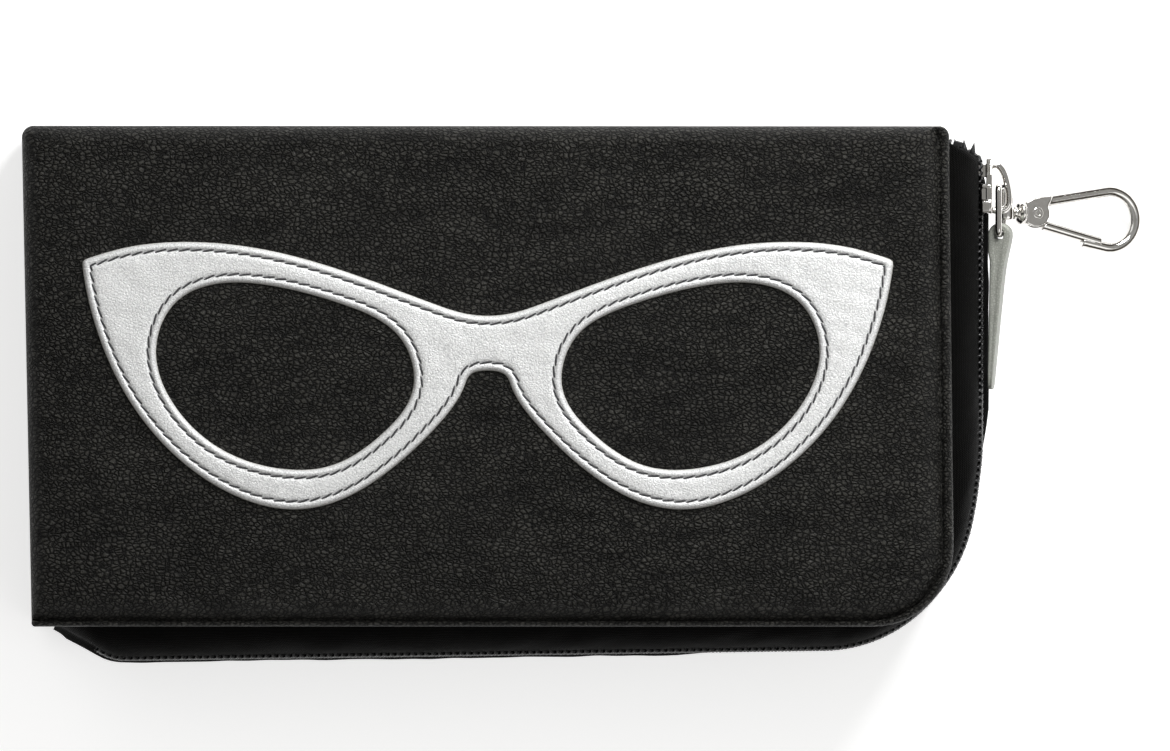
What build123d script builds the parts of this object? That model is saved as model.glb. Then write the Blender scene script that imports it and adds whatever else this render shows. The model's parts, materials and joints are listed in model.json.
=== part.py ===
from build123d import *
import os
from math import asin, atan2, cos, degrees, hypot, radians, sin

# Multi glasses organizer: a soft leather case lying on its back.
# Millimetres. +X runs to the zipped short side and its clasp, +Y to the folded long side,
# +Z out of the front cover. The origin is under the middle of the back cover.

# ---- the case
TOP_EDGE = 58.1          # folded long edge, at its left end
TOP_SLOPE = 0.5          # how much lower that edge is at its right end
BOTTOM_EDGE = -50.5      # zipped long edge
LEFT_EDGE = -105.2       # closed short edge, at the fold
LEFT_SLOPE = 2.2         # how far that edge leans in at the bottom
RIGHT_EDGE = 97.4        # zipped short edge, at its middle
RIGHT_LEAN = 0.6         # how far that edge leans out at the bottom and in at the top
BOTTOM_SLOPE = 0.4       # how much lower the bottom edge is at its left end
CASE_HEIGHT = 44.0
MIDDLE = CASE_HEIGHT / 2     # height of the zip chain
CORNER = 4.0             # plain corners seen from the front
ZIP_CORNER = 17.5        # corner that the zip runs round
EDGE_ROUND = 3.5         # rounding of the front and back edges
COVER_DEPTH = 8.0        # from the outer face of a cover to the end of its side
LEATHER = 1.4
BINDING = 2.4            # rolled strip along the zipped edges
BOARD = 0.9
LINING = 0.7

# ---- the inside
DIVIDER = 1.8
DIVIDER_BINDING = 2.5
DIVIDER_RIGHT = 90.0
DIVIDER_BOTTOM = -44.0
DIVIDER_CORNER = 14.0
FOLD_WALL = 1.3          # leather and lining along the fold
GUSSET_WALL = 1.2
GUSSET_DEPTH = 6.5       # how far the pleats of the closed side go in
REST_GAP = 0.3

# ---- the zip
CHAIN_X = 103.3          # centre of the chain along the short side
CHAIN_Y = -54.9          # and where the two runs would meet
CHAIN_RADIUS = 36.9      # bend of the chain at the corner
TAPE = 0.7
TAPE_UPRIGHT = 8.0       # height above the chain before the tape leans in to the cover
COIL_WIDTH = 2.0
COIL_HEIGHT = 1.55
COIL_GAP = 1.3           # between the two rows, room for the slider's post
STOP_LENGTH = 2.0
STOP_OVER = 0.5          # how far a stop stands out round the coil

# ---- the slider, seen from outside the case it is 12 long and 8.4 wide
SLIDER_LOW = 39.3
SLIDER_LENGTH = 12.0
SLIDER_HALF = 4.2
OUTER_PLATE = 105.0
INNER_PLATE = 100.8
PLATE = 1.2
LIP_LENGTH = 6.5
LIP = 0.7
POST = 0.6
BRIDGE_WIDTH = 3.0
BRIDGE = 1.2
BRIDGE_TOP = 2.5         # how far the bridge stands out of the slider at its upper end
BRIDGE_LOW = 4.2         # and at its lower end, where the ring hangs

# ---- the pull ring, the tab and the clasp
RING_X = 108.15
RING_Y = 45.2
RING_LENGTH = 10.4
RING_HALF = 5.3
RING_WIRE = 0.5
RING_BEND = 1.2
RING_TILT = -6.0
TAB_LENGTH = 34.0
TAB_WIDTH = 8.0
TAB_HEAD = 2.35
TAB_THICK = 3.0
TAB_THIN = 1.2
TAB_LEAN = -3.6
CLASP_Y = 39.5
CLASP_DROOP = 25.0
EYE_OFFSET = 0.65
EYE_HOLE = 1.3
EYE_OUTER = 2.0
EYE_WIDTH = 3.4
COLLAR_START = 3.5
COLLAR_END = 5.0
COLLAR = 2.6
STUB = 0.8
HOOK_START = 5.15
HEAD_X = 7.4
HEAD = 3.1
HEAD_THICK = 3.0
RIVET_X = 7.9
RIVET = 0.5
RIVET_HEAD = 1.35
BOW_X = 26.1
BOW_Y = -1.4
BOW = 6.2
HOOK_WIRE = 1.25
GATE_WIRE = 1.1
GATE_TONGUE = 0.9
GATE_START = (10.6, -2.9)
GATE_END = (23.0, -6.2)
TONGUE_OUTLINE = [(-0.4, -1.4), (3.6, -1.5), (3.2, -3.6), (0.9, -3.2)]
SLOT = 1.5
STEP = 2.4               # half the length of the stepped joint
STEP_X = 21.3
STEP_Y = -6.2
STEP_LEAN = -13.0
STEP_GAP = 0.12

# ---- the glasses-shaped leather patch
PATCH_X = -4.0
PATCH = 0.9
STITCH_INSET = 1.7
THREAD = 0.45
THREAD_RISE = 0.2

ACROSS = Plane.XY.offset(MIDDLE)


def save(shape, name):
    export_step(shape, "parts/" + name + ".step")


def box_between(low, high):
    size = [b - a for a, b in zip(low, high)]
    middle = [(a + b) / 2 for a, b in zip(low, high)]
    return Pos(*middle) * Box(*size)


# ---------------------------------------------------------------- routes and strips

def moved_in(corners, distance):
    """The corners of an open route, each moved the same distance to its right-hand side."""
    sides = []
    for (x0, y0), (x1, y1) in zip(corners, corners[1:]):
        length = hypot(x1 - x0, y1 - y0)
        sides.append(((y1 - y0) / length, (x0 - x1) / length))
    before = [sides[0]] + sides
    after = sides + [sides[-1]]
    result = []
    for (x, y), (ax, ay), (bx, by) in zip(corners, before, after):
        scale = distance / (1 + ax * bx + ay * by)
        result.append((x + (ax + bx) * scale, y + (ay + by) * scale))
    return result


def strip(corners, bends, width):
    """A flat strip centred on a route with rounded bends."""
    outer = FilletPolyline(*moved_in(corners, -width / 2), radius=[r + width / 2 for r in bends])
    inner = FilletPolyline(*moved_in(corners, width / 2), radius=[r - width / 2 for r in bends])
    ends = [Line(outer @ 0, inner @ 0), Line(outer @ 1, inner @ 1)]
    return make_face(outer.edges() + inner.edges() + ends[0].edges() + ends[1].edges())


def raised(face, height):
    return Pos(0, 0, height) * face


# ---------------------------------------------------------------- the two covers

def cover_face(inset):
    top_right = TOP_EDGE - TOP_SLOPE
    corners = [(LEFT_EDGE, TOP_EDGE), (RIGHT_EDGE - RIGHT_LEAN, top_right),
               (RIGHT_EDGE + RIGHT_LEAN, BOTTOM_EDGE), (LEFT_EDGE + LEFT_SLOPE, BOTTOM_EDGE - BOTTOM_SLOPE)]
    bends = [CORNER, CORNER, ZIP_CORNER, CORNER]
    face = make_face(FilletPolyline(*corners, radius=bends, close=True))
    if inset > 0:
        face = offset(face, amount=-inset)
    return face


def cover_block(inset, low, high, rounding=0.0):
    block = extrude(raised(cover_face(inset), low), amount=high - low)
    if rounding > 0:
        block = fillet(block.edges().group_by(Axis.Z)[-1], rounding)
    return block


def inside_the_seam():
    """Everything on the panel's side of the seam that runs along the two zipped edges."""
    far = 200.0
    corners = [(-far, far), (RIGHT_EDGE - RIGHT_LEAN - BINDING, far),
               (RIGHT_EDGE + RIGHT_LEAN - BINDING, BOTTOM_EDGE + BINDING),
               (-far, BOTTOM_EDGE + BINDING - BOTTOM_SLOPE)]
    inside = make_face(FilletPolyline(*corners, radius=[1, 1, ZIP_CORNER - BINDING, 1], close=True))
    return extrude(inside, amount=CASE_HEIGHT)


def front_cover_pieces():
    side_end = CASE_HEIGHT - COVER_DEPTH
    under_leather = CASE_HEIGHT - LEATHER
    lining_top = side_end + LINING
    board_top = lining_top + BOARD
    hollow = cover_block(LEATHER, side_end, under_leather, EDGE_ROUND - LEATHER)
    shell = cover_block(0, side_end, CASE_HEIGHT, EDGE_ROUND) - hollow
    inside = inside_the_seam()
    return {
        "panel": shell & inside,
        "binding": shell - inside,
        "padding": cover_block(LEATHER, board_top, under_leather, EDGE_ROUND - LEATHER),
        "board": cover_block(LEATHER, lining_top, board_top),
        "lining": cover_block(LEATHER, side_end, lining_top),
    }


# ---------------------------------------------------------------- fold, gusset, dividers

def spine_fold():
    low = COVER_DEPTH + REST_GAP
    height = CASE_HEIGHT - 2 * low
    length = RIGHT_EDGE - LEFT_EDGE - 2 * CORNER
    middle = (LEFT_EDGE + RIGHT_EDGE) / 2
    wall = Pos(middle, TOP_EDGE - TOP_SLOPE / 2 - FOLD_WALL / 2, low + height / 2)
    lean = -degrees(atan2(TOP_SLOPE, length))
    return wall * Rot(0, 0, lean) * Box(length, FOLD_WALL, height)


def divider_heights():
    room = CASE_HEIGHT - 2 * COVER_DEPTH
    pocket = (room - 2 * DIVIDER) / 3
    first = COVER_DEPTH + pocket
    return first, first + DIVIDER + pocket


def side_gusset():
    """A wall with one inward pleat at each divider."""
    first, second = divider_heights()
    low = COVER_DEPTH + REST_GAP
    high = CASE_HEIGHT - low
    heights = [low, first + DIVIDER / 2, MIDDLE, second + DIVIDER / 2, high]
    depths = [0, GUSSET_DEPTH, 0, GUSSET_DEPTH, 0]
    outer = list(zip(depths, heights))
    inner = [(x + GUSSET_WALL, z) for x, z in reversed(outer)]
    profile = make_face(Polyline(*outer, *inner, close=True))
    length = TOP_EDGE - BOTTOM_EDGE - 2 * CORNER
    wall = extrude(Plane.XZ * profile, amount=length)
    lean = degrees(atan2(LEFT_SLOPE, length))
    return Pos(LEFT_EDGE, TOP_EDGE - CORNER, 0) * Rot(0, 0, lean) * wall


def divider_face(trim):
    left = LEFT_EDGE + GUSSET_DEPTH + GUSSET_WALL + 2 * REST_GAP
    top = TOP_EDGE - TOP_SLOPE - FOLD_WALL - REST_GAP
    corners = [(left, top), (DIVIDER_RIGHT - trim, top), (DIVIDER_RIGHT - trim, DIVIDER_BOTTOM + trim),
               (left + LEFT_SLOPE, DIVIDER_BOTTOM + trim)]
    return make_face(FilletPolyline(*corners, radius=[1, 1, DIVIDER_CORNER - trim, 1], close=True))


def divider(height):
    whole = extrude(raised(divider_face(0), height), amount=DIVIDER)
    core = extrude(raised(divider_face(DIVIDER_BINDING), height), amount=DIVIDER)
    return core, whole - core


# ---------------------------------------------------------------- the zip

CHAIN_ROUTE = [(96.0, 54.4), (CHAIN_X, 52.6), (CHAIN_X, CHAIN_Y), (-85.0, CHAIN_Y - 2.4), (-97.0, -50.6)]
COIL_ROUTE = CHAIN_ROUTE[:-1] + [(-88.3, -55.4)]
COVER_ROUTE = [(93.0, 55.9), (RIGHT_EDGE - 1.6, 55.9), (RIGHT_EDGE - 0.4, BOTTOM_EDGE + 1.0),
               (-88.0, BOTTOM_EDGE + 0.7), (-95.0, BOTTOM_EDGE + 1.7)]
CHAIN_BENDS = [2.5, CHAIN_RADIUS, 6.0]
COVER_BENDS = [2.0, ZIP_CORNER - 1.0, 5.0]


def coil_row():
    low = MIDDLE + COIL_GAP / 2
    return extrude(raised(strip(COIL_ROUTE, CHAIN_BENDS, COIL_WIDTH), low), amount=COIL_HEIGHT)


def zip_tape():
    """Upright beside the chain, so that the slider can pass, then leaning in to the cover."""
    low = MIDDLE + COIL_GAP / 2 + COIL_HEIGHT
    knee = MIDDLE + TAPE_UPRIGHT
    high = CASE_HEIGHT - COVER_DEPTH
    chain_strip = strip(CHAIN_ROUTE, CHAIN_BENDS, TAPE)
    cover_strip = strip(COVER_ROUTE, COVER_BENDS, TAPE)
    upright = extrude(raised(chain_strip, low), amount=knee - low)
    leaning = loft([raised(chain_strip, knee), raised(cover_strip, high)], ruled=True)
    return upright + leaning


def stop_staple(length):
    staple = Box(length, COIL_WIDTH + 0.8, COIL_HEIGHT + 2 * STOP_OVER)
    return fillet(staple.edges(), 0.3)


def top_stop():
    height = MIDDLE + COIL_GAP / 2 - 0.1 + COIL_HEIGHT / 2 + STOP_OVER
    place = Pos(98.6, 53.8, height) * Rot(0, 0, -14)
    return place * stop_staple(STOP_LENGTH) - coil_row() - zip_tape()


def bottom_stop():
    """Clamped over the end of the back row of the coil."""
    height = MIDDLE - COIL_GAP / 2 - COIL_HEIGHT / 2 - 0.4
    place = Pos(-87.2, -56.1, height) * Rot(0, 0, -29)
    return place * stop_staple(1.5 * STOP_LENGTH) - back(coil_row()) - back(zip_tape())


def back(shape):
    """The matching piece of the back half of the case."""
    return mirror(shape, about=ACROSS)


# ---------------------------------------------------------------- the slider

def slider_plate(low_x):
    low = SLIDER_LOW
    high = SLIDER_LOW + SLIDER_LENGTH
    corners = [(low, -SLIDER_HALF), (high - 3.0, -SLIDER_HALF), (high, -2.0),
               (high, 2.0), (high - 3.0, SLIDER_HALF), (low, SLIDER_HALF)]
    outline = make_face(FilletPolyline(*corners, radius=[1.2, 2.0, 1.0, 1.0, 2.0, 1.2], close=True))
    plate = extrude(Plane.YZ * outline, amount=PLATE)
    plate = fillet(plate.edges().group_by(Axis.X)[-1] + plate.edges().group_by(Axis.X)[0], 0.3)
    return Pos(low_x, 0, MIDDLE) * plate


def slider_body():
    """Two plates on a post, with lips that hold the back row of the coil."""
    inside = INNER_PLATE + PLATE
    slot = TAPE / 2 + REST_GAP
    lip_low = MIDDLE - SLIDER_HALF
    lip_end = SLIDER_LOW + LIP_LENGTH
    overlap = 0.4
    post = box_between((inside - overlap, SLIDER_LOW + SLIDER_LENGTH - 4.0, MIDDLE - POST / 2),
                       (OUTER_PLATE + overlap, SLIDER_LOW + SLIDER_LENGTH - 1.2, MIDDLE + POST / 2))
    outer_lip = box_between((CHAIN_X + slot, SLIDER_LOW + 0.4, lip_low),
                            (OUTER_PLATE + overlap, lip_end, lip_low + LIP))
    inner_lip = box_between((inside - overlap, SLIDER_LOW + 0.4, lip_low),
                            (CHAIN_X - slot, lip_end, lip_low + LIP))
    return slider_plate(INNER_PLATE) + slider_plate(OUTER_PLATE) + post + outer_lip + inner_lip


def slider_bridge():
    face = OUTER_PLATE + PLATE
    upper = SLIDER_LOW + SLIDER_LENGTH - 1.2
    lower = SLIDER_LOW + 0.8
    route = [(face - 0.1, upper), (face + BRIDGE_TOP, upper - 0.4), (face + BRIDGE_LOW, lower + 2.9),
             (face + BRIDGE_LOW - 0.8, lower), (face - 0.1, lower)]
    arch = extrude(raised(strip(route, [1.8, 2.5, 1.2], BRIDGE), MIDDLE - BRIDGE_WIDTH / 2),
                   amount=BRIDGE_WIDTH)
    return arch - slider_plate(OUTER_PLATE)


# ---------------------------------------------------------------- the ring and the tab

def ring_place():
    return Pos(RING_X, RING_Y, MIDDLE) * Rot(0, RING_TILT, 0)


def pull_ring():
    corners = [(0, -RING_HALF), (0, RING_HALF), (-RING_LENGTH, RING_HALF), (-RING_LENGTH, -RING_HALF)]
    loop = Plane.YZ * FilletPolyline(*corners, radius=RING_BEND, close=True)
    start = loop @ 0
    section = Plane(origin=start, z_dir=loop % 0) * Circle(RING_WIRE)
    return ring_place() * sweep(section, path=loop)


def pull_tab():
    """A strap folded round the ring, thin at its free end."""
    head = Circle(TAB_HEAD)
    neck = 5.0
    corners = [(-TAB_HEAD * 0.86, -1.0), (TAB_HEAD * 0.86, -1.0), (TAB_THICK / 2, -neck),
               (TAB_THIN / 2, -TAB_LENGTH), (-TAB_THIN / 2, -TAB_LENGTH), (-TAB_THICK / 2, -neck)]
    strap = make_face(Polyline(*corners, close=True))
    outline = head + strap - Circle(RING_WIRE + 0.25)
    tab = extrude(outline, amount=TAB_WIDTH / 2, both=True)
    end_edges = tab.edges().filter_by(Axis.X).group_by(Axis.Y)[0]
    tab = fillet(end_edges, 3.0)
    return ring_place() * Pos(0, -RING_LENGTH, 0) * Rot(0, 0, TAB_LEAN) * tab


# ---------------------------------------------------------------- the swivel clasp

def clasp_place():
    """The clasp is drawn along +X from the leg of the ring that it hangs on."""
    tilt = radians(RING_TILT)
    leg = (RING_X - RING_HALF * sin(tilt), CLASP_Y, MIDDLE - RING_HALF * cos(tilt))
    return Pos(*leg) * Rot(0, CLASP_DROOP, 0)


def along_x(radius, start, end):
    return Pos((start + end) / 2, 0, 0) * Rot(0, 90, 0) * Cylinder(radius, end - start)


def swivel_eye():
    band = Pos(EYE_OFFSET, 0, 0) * Rot(90, 0, 0) * Cylinder(EYE_OUTER, EYE_WIDTH)
    band = fillet(band.edges(), 0.5)
    neck = along_x(1.5, EYE_OFFSET + 1.4, COLLAR_START)
    flare = [(COLLAR_START - 0.3, 0), (COLLAR_START - 0.3, 1.8), (COLLAR_START + 0.6, COLLAR),
             (COLLAR_END, COLLAR), (COLLAR_END, 0)]
    collar = revolve(make_face(Polyline(*flare, close=True)), Axis.X)
    hole = Pos(EYE_OFFSET, 0, 0) * Rot(90, 0, 0) * Cylinder(EYE_HOLE, 2 * EYE_WIDTH)
    stub = along_x(STUB, COLLAR_END - 0.2, HOOK_START + 1.1)
    return clasp_place() * (band + neck + collar - hole + stub)


def touch_point(point, side):
    """Where a line from the point touches the bow of the hook."""
    dx = BOW_X - point[0]
    dy = BOW_Y - point[1]
    reach = hypot(dx, dy)
    angle = atan2(dy, dx) + side * asin(BOW / reach)
    length = (reach ** 2 - BOW ** 2) ** 0.5
    return point[0] + length * cos(angle), point[1] + length * sin(angle)


def step_cutter(low_side):
    """The half of the stepped joint that the gate, or the nose under it, gives up."""
    centre = Pos(STEP_X, STEP_Y, 0) * Rot(0, 0, STEP_LEAN)
    depth = 4.0
    cutter = Box(2 * STEP, depth, 2 * HEAD_THICK)
    if low_side:
        return centre * Pos(0.2, -depth / 2, 0) * cutter
    return centre * Pos(-0.2, depth / 2 - STEP_GAP, 0) * cutter


def hook_body():
    arm_start = (8.0, 2.2)
    nose_end = (19.2, -6.3)
    arm_end = touch_point(arm_start, 1)
    nose_start = touch_point(nose_end, -1)
    bow = ThreePointArc(arm_end, (BOW_X + BOW, BOW_Y), nose_start)
    route = Wire([*Line(arm_start, arm_end).edges(), *bow.edges(), *Line(nose_start, nose_end).edges()])
    section = Plane(origin=route @ 0, z_dir=route % 0) * Circle(HOOK_WIRE)
    wire = sweep(section, path=route)
    head = Pos(HEAD_X, 0, 0) * Cylinder(HEAD, HEAD_THICK)
    head = fillet(head.edges(), 0.5)
    knuckle = Pos(arm_start[0], arm_start[1], 0) * Sphere(HOOK_WIRE)
    body = head + wire + knuckle
    body -= box_between((0, -9, -9), (HOOK_START, 9, 9))
    body -= along_x(STUB + 0.06, HOOK_START - 1, HOOK_START + 1.3)
    body -= box_between((RIVET_X - 1.9, -6.0, -SLOT / 2), (RIVET_X + 6.0, 0.9, SLOT / 2))
    body -= Pos(RIVET_X, 0, 0) * Cylinder(1.9, SLOT)
    body -= Pos(RIVET_X, 0, 0) * Cylinder(RIVET, 2 * HEAD_THICK)
    body -= step_cutter(False)
    return clasp_place() * body


def gate():
    tongue_face = Circle(1.5) + make_face(Polyline(*TONGUE_OUTLINE, close=True))
    tongue = extrude(tongue_face, amount=GATE_TONGUE)
    tongue = Pos(RIVET_X, 0, -SLOT / 2 + 0.1) * tongue
    run = GATE_END[0] - GATE_START[0]
    fall = GATE_END[1] - GATE_START[1]
    slope = degrees(atan2(fall, run))
    bar = Pos(*GATE_START, 0) * Rot(0, 0, slope) * along_x(GATE_WIRE, 0, hypot(run, fall))
    bar -= Pos(RIVET_X, 0, 0) * Cylinder(3.25, 6)
    body = bar + tongue
    body -= Pos(RIVET_X, 0, 0) * Cylinder(RIVET + 0.05, 6)
    body -= step_cutter(True)
    return clasp_place() * body


def gate_rivet():
    pin = Cylinder(RIVET, HEAD_THICK)
    caps = [Pos(0, 0, side * (HEAD_THICK / 2 + 0.125)) * Cylinder(RIVET_HEAD, 0.25) for side in (-1, 1)]
    return clasp_place() * Pos(RIVET_X, 0, 0) * (pin + caps[0] + caps[1])


def gate_spring():
    """One turn of flat wire beside the gate's tongue, round the rivet."""
    turn = Cylinder(1.15, 0.3) - Cylinder(RIVET + 0.15, 1)
    return clasp_place() * Pos(RIVET_X, 0, SLOT / 2 - 0.2) * turn


# ---------------------------------------------------------------- the glasses patch

def patch_face():
    brow = [(0, 16.9), (11.4, 19.4), (34.8, 27.8), (58.2, 32.7), (74.0, 32.6), (88.5, 29.0)]
    rim = [(88.5, 29.0), (85.1, 13.4), (77.3, -2.9), (65.7, -15.7), (53.9, -22.8), (43.2, -25.3),
           (33.0, -23.6), (22.3, -17.5), (12.0, -8.2), (5.0, 1.8), (0, 5.0)]
    top = Spline(*brow, tangents=[(1, 0), (1, -0.35)])
    bottom = Spline(*rim, tangents=[(-0.1, -1), (-1, 0)])
    half = make_face(top.edges() + bottom.edges() + Line(rim[-1], brow[0]).edges())
    return Pos(PATCH_X, 0, 0) * (half + mirror(half, about=Plane.YZ))


def lens_face(side):
    points = [(16.2, 5.1), (21.1, 14.2), (31.0, 19.2), (47.3, 23.5), (58.9, 23.9), (67.6, 20.2),
              (72.3, 9.7), (68.1, -2.9), (57.5, -12.5), (45.9, -16.3), (34.7, -15.9), (22.9, -8.7)]
    hole = make_face(Spline(*[(side * x, y) for x, y in points], periodic=True))
    return Pos(PATCH_X, 0, 0) * hole


def redrawn(face):
    """The same outline, each edge drawn again as a spline."""
    steps = 24
    edges = []
    for edge in face.faces()[0].outer_wire().edges():
        edges.append(Spline(*[edge @ (step / steps) for step in range(steps + 1)]))
    return make_face(edges)


def thread_on_patch(outline, start, end):
    """A thin raised line between two distances from an outline."""
    bands = []
    for distance in (start, end):
        face = redrawn(offset(outline, amount=distance))
        bands.append(extrude(raised(face, CASE_HEIGHT + PATCH), amount=THREAD_RISE))
    return bands[0] - bands[1]


def patch_pieces():
    outline = patch_face()
    lenses = {"left": lens_face(-1), "right": lens_face(1)}
    leather = outline - lenses["left"] - lenses["right"]
    pieces = {"glasses_patch": extrude(raised(leather, CASE_HEIGHT), amount=PATCH)}
    far_side = STITCH_INSET + THREAD
    pieces["patch_outer_thread"] = thread_on_patch(outline, -STITCH_INSET, -far_side)
    for name, lens in lenses.items():
        pieces["patch_" + name + "_lens_thread"] = thread_on_patch(lens, far_side, STITCH_INSET)
    return pieces


def main():
    os.makedirs("parts", exist_ok=True)
    for name, shape in front_cover_pieces().items():
        save(shape, "front_" + name)
        save(back(shape), "back_" + name)
    save(spine_fold(), "spine_fold")
    save(side_gusset(), "side_gusset")
    for name, height in zip(("rear", "front"), divider_heights()):
        core, edge = divider(height)
        save(core, name + "_divider")
        save(edge, name + "_divider_binding")
    for name, piece in (("zip_coil", coil_row()), ("zip_tape", zip_tape()), ("zip_top_stop", top_stop())):
        save(piece, name + "_front")
        save(back(piece), name + "_back")
    save(bottom_stop(), "zip_bottom_stop")
    save(slider_body(), "slider_body")
    save(slider_bridge(), "slider_bridge")
    save(pull_ring(), "pull_ring")
    save(pull_tab(), "pull_tab")
    save(swivel_eye(), "swivel_eye")
    save(hook_body(), "hook_body")
    save(gate(), "gate")
    save(gate_rivet(), "gate_rivet")
    save(gate_spring(), "gate_spring")
    for name, shape in patch_pieces().items():
        save(shape, name)


main()
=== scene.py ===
import json
from math import asin, atan2, cos, pi, radians, sin

import bpy
import numpy as np
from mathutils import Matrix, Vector
from mathutils.geometry import delaunay_2d_cdt


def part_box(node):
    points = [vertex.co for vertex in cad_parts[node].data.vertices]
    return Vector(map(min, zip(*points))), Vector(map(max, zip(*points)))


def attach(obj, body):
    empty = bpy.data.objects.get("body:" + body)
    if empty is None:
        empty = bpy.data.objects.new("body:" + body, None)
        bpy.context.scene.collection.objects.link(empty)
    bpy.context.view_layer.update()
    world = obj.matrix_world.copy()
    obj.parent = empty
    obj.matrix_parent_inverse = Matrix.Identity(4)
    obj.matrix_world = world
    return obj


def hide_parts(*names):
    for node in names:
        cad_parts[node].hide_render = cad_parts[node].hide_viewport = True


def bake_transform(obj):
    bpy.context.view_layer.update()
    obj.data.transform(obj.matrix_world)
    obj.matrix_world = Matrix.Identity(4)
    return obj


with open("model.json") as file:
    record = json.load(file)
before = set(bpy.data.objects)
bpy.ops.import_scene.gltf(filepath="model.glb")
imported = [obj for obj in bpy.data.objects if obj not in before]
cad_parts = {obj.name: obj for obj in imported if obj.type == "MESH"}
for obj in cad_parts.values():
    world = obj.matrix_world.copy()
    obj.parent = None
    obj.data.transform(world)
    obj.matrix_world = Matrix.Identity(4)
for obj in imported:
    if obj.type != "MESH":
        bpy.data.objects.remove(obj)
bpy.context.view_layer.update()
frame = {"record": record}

# Multi glasses organizer: the looks of a soft leather case lying on its back.
# Everything is in metres. MM turns a size in millimetres into metres.
MM = 0.001
CHUNK = 2000                         # points measured at a time, to save memory

# ---- heights and edges of the case, read from the frame
PANEL_LOW, PANEL_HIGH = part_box("front_panel")
BINDING_LOW, BINDING_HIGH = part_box("front_binding")
LEFT = PANEL_LOW[0] - 0.6 * MM       # the soft leather stands a little outside the patterns
TOP = PANEL_HIGH[1] + 0.3 * MM
RIGHT = BINDING_HIGH[0]
BOTTOM = BINDING_LOW[1]
FRONT = PANEL_HIGH[2]                # outer face of the front cover
FACE = FRONT - 0.4 * MM              # and of its leather, before the crown
MIDDLE = FRONT / 2                   # height of the zip chain
SIDE_END = PANEL_LOW[2]              # where the front cover's side ends
SIDE_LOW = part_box("back_panel")[1][2]

# ---- how the outline leans
LEFT_LEAN = 2.2 * MM
TOP_FALL = 0.1 * MM
RIGHT_LEAN = 1.2 * MM
CORNER = 2.2 * MM
ZIP_CORNER = 17.5 * MM

# ---- the leather's shape
FOLD_ROUND = 4.2 * MM
ROLL = 2.3 * MM                      # width of the rolled strip outside the seam, short side
ROLL_BOTTOM = 1.4 * MM               # and along the bottom
BEND_START = 180 * MM                # where the bottom seam begins to turn up
ROLL_RISE = 1.5 * MM
SEAM_DEPTH = 3.9 * MM
SEAM_SHOULDER = 7.0 * MM             # how far the panel curves down to the seam
CROWN = 1.5 * MM
PEBBLE = 0.84 * MM                   # size of the grain
PLEAT = 5.2 * MM
WALL_ROWS = 45                       # rows of points up the fold and the gusset
PATCH_THICK = 0.9 * MM
STITCH_INSET = 1.75 * MM
STITCH_PITCH = 2.6 * MM
SEAM_STEP = 0.1 * MM
THREAD = 0.25 * MM

# ---- the zip
PITCH = 1.52 * MM
COIL_STEP = 0.02 * MM
CHAIN_X = 103.3 * MM
CHAIN_ROUTE = [(96.0, 54.0), (103.3, 51.9), (103.3, -54.9), (-85.8, -57.6), (-98.6, -50.5)]
CHAIN_BENDS = [2.5, 34.0, 9.0]
COVER_BENDS = [2.0, 16.5, 5.0]
ROUTE_COUNTS = [10, 8, 70, 46, 130, 8, 14]

# ---- the pull ring and the tab
RING_TILT = radians(-6.0)
TAB_LEAN = radians(-3.6)
RING_LENGTH = 10.4 * MM
TAB_LENGTH = 34.0                    # in millimetres, as is all of the tab in its own frame


# ================================================================ mesh helpers

def linked(name, mesh, material):
    """A smooth object of a mesh, in the scene."""
    mesh.polygons.foreach_set("use_smooth", [True] * len(mesh.polygons))
    mesh.materials.clear()
    mesh.materials.append(material)
    mesh.update()
    piece = bpy.data.objects.new(name, mesh)
    bpy.context.scene.collection.objects.link(piece)
    return piece


def make_object(name, points, faces, material):
    mesh = bpy.data.meshes.new(name)
    mesh.from_pydata([tuple(map(float, p)) for p in points], [], [tuple(map(int, f)) for f in faces])
    mesh.validate()
    return linked(name, mesh, material)


def settle(piece, body, slot, *nodes):
    """Puts a piece in the place of its CAD nodes, on the body that carries it."""
    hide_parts(*nodes)
    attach(piece, body)
    return piece


def turns(count):
    return 2 * pi * np.arange(count) / count


def flipped(faces):
    return [tuple(reversed(f)) for f in faces]


def merged(parts):
    """One list of points and one of faces, from several parts."""
    points, faces = [], []
    for part_points, part_faces in parts:
        shift = len(points)
        points += list(part_points)
        faces += [tuple(v + shift for v in f) for f in part_faces]
    return points, faces


def grid_faces(rows, columns, first=0, closed=False):
    """Quads of a grid of points; closed joins the last column to the first."""
    faces = []
    last = columns if closed else columns - 1
    for i in range(rows - 1):
        for j in range(last):
            a = first + i * columns + j
            b = first + i * columns + (j + 1) % columns
            faces.append((a, b, b + columns, a + columns))
    return faces


def rod_faces(rings, sides, closed=False):
    """Faces of a rod made of rings of points: its skin, with its two ends or with the last
    ring joined to the first."""
    end = (rings - 1) * sides
    if closed:
        ends = [(end + k, end + (k + 1) % sides, (k + 1) % sides, k) for k in range(sides)]
    else:
        ends = [tuple(reversed(range(sides))), tuple(range(end, end + sides))]
    return grid_faces(rings, sides, 0, True) + ends


def slab_faces(rows, columns, first_inside=False):
    """Faces of two layers of points and of the rim between them."""
    count = rows * columns
    first, second = grid_faces(rows, columns), grid_faces(rows, columns, count)
    layers = flipped(first) + second if first_inside else first + flipped(second)
    rim = rim_indices(rows, columns)
    return layers + [(b, a, a + count, b + count) for a, b in zip(rim, rim[1:] + rim[:1])]


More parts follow.
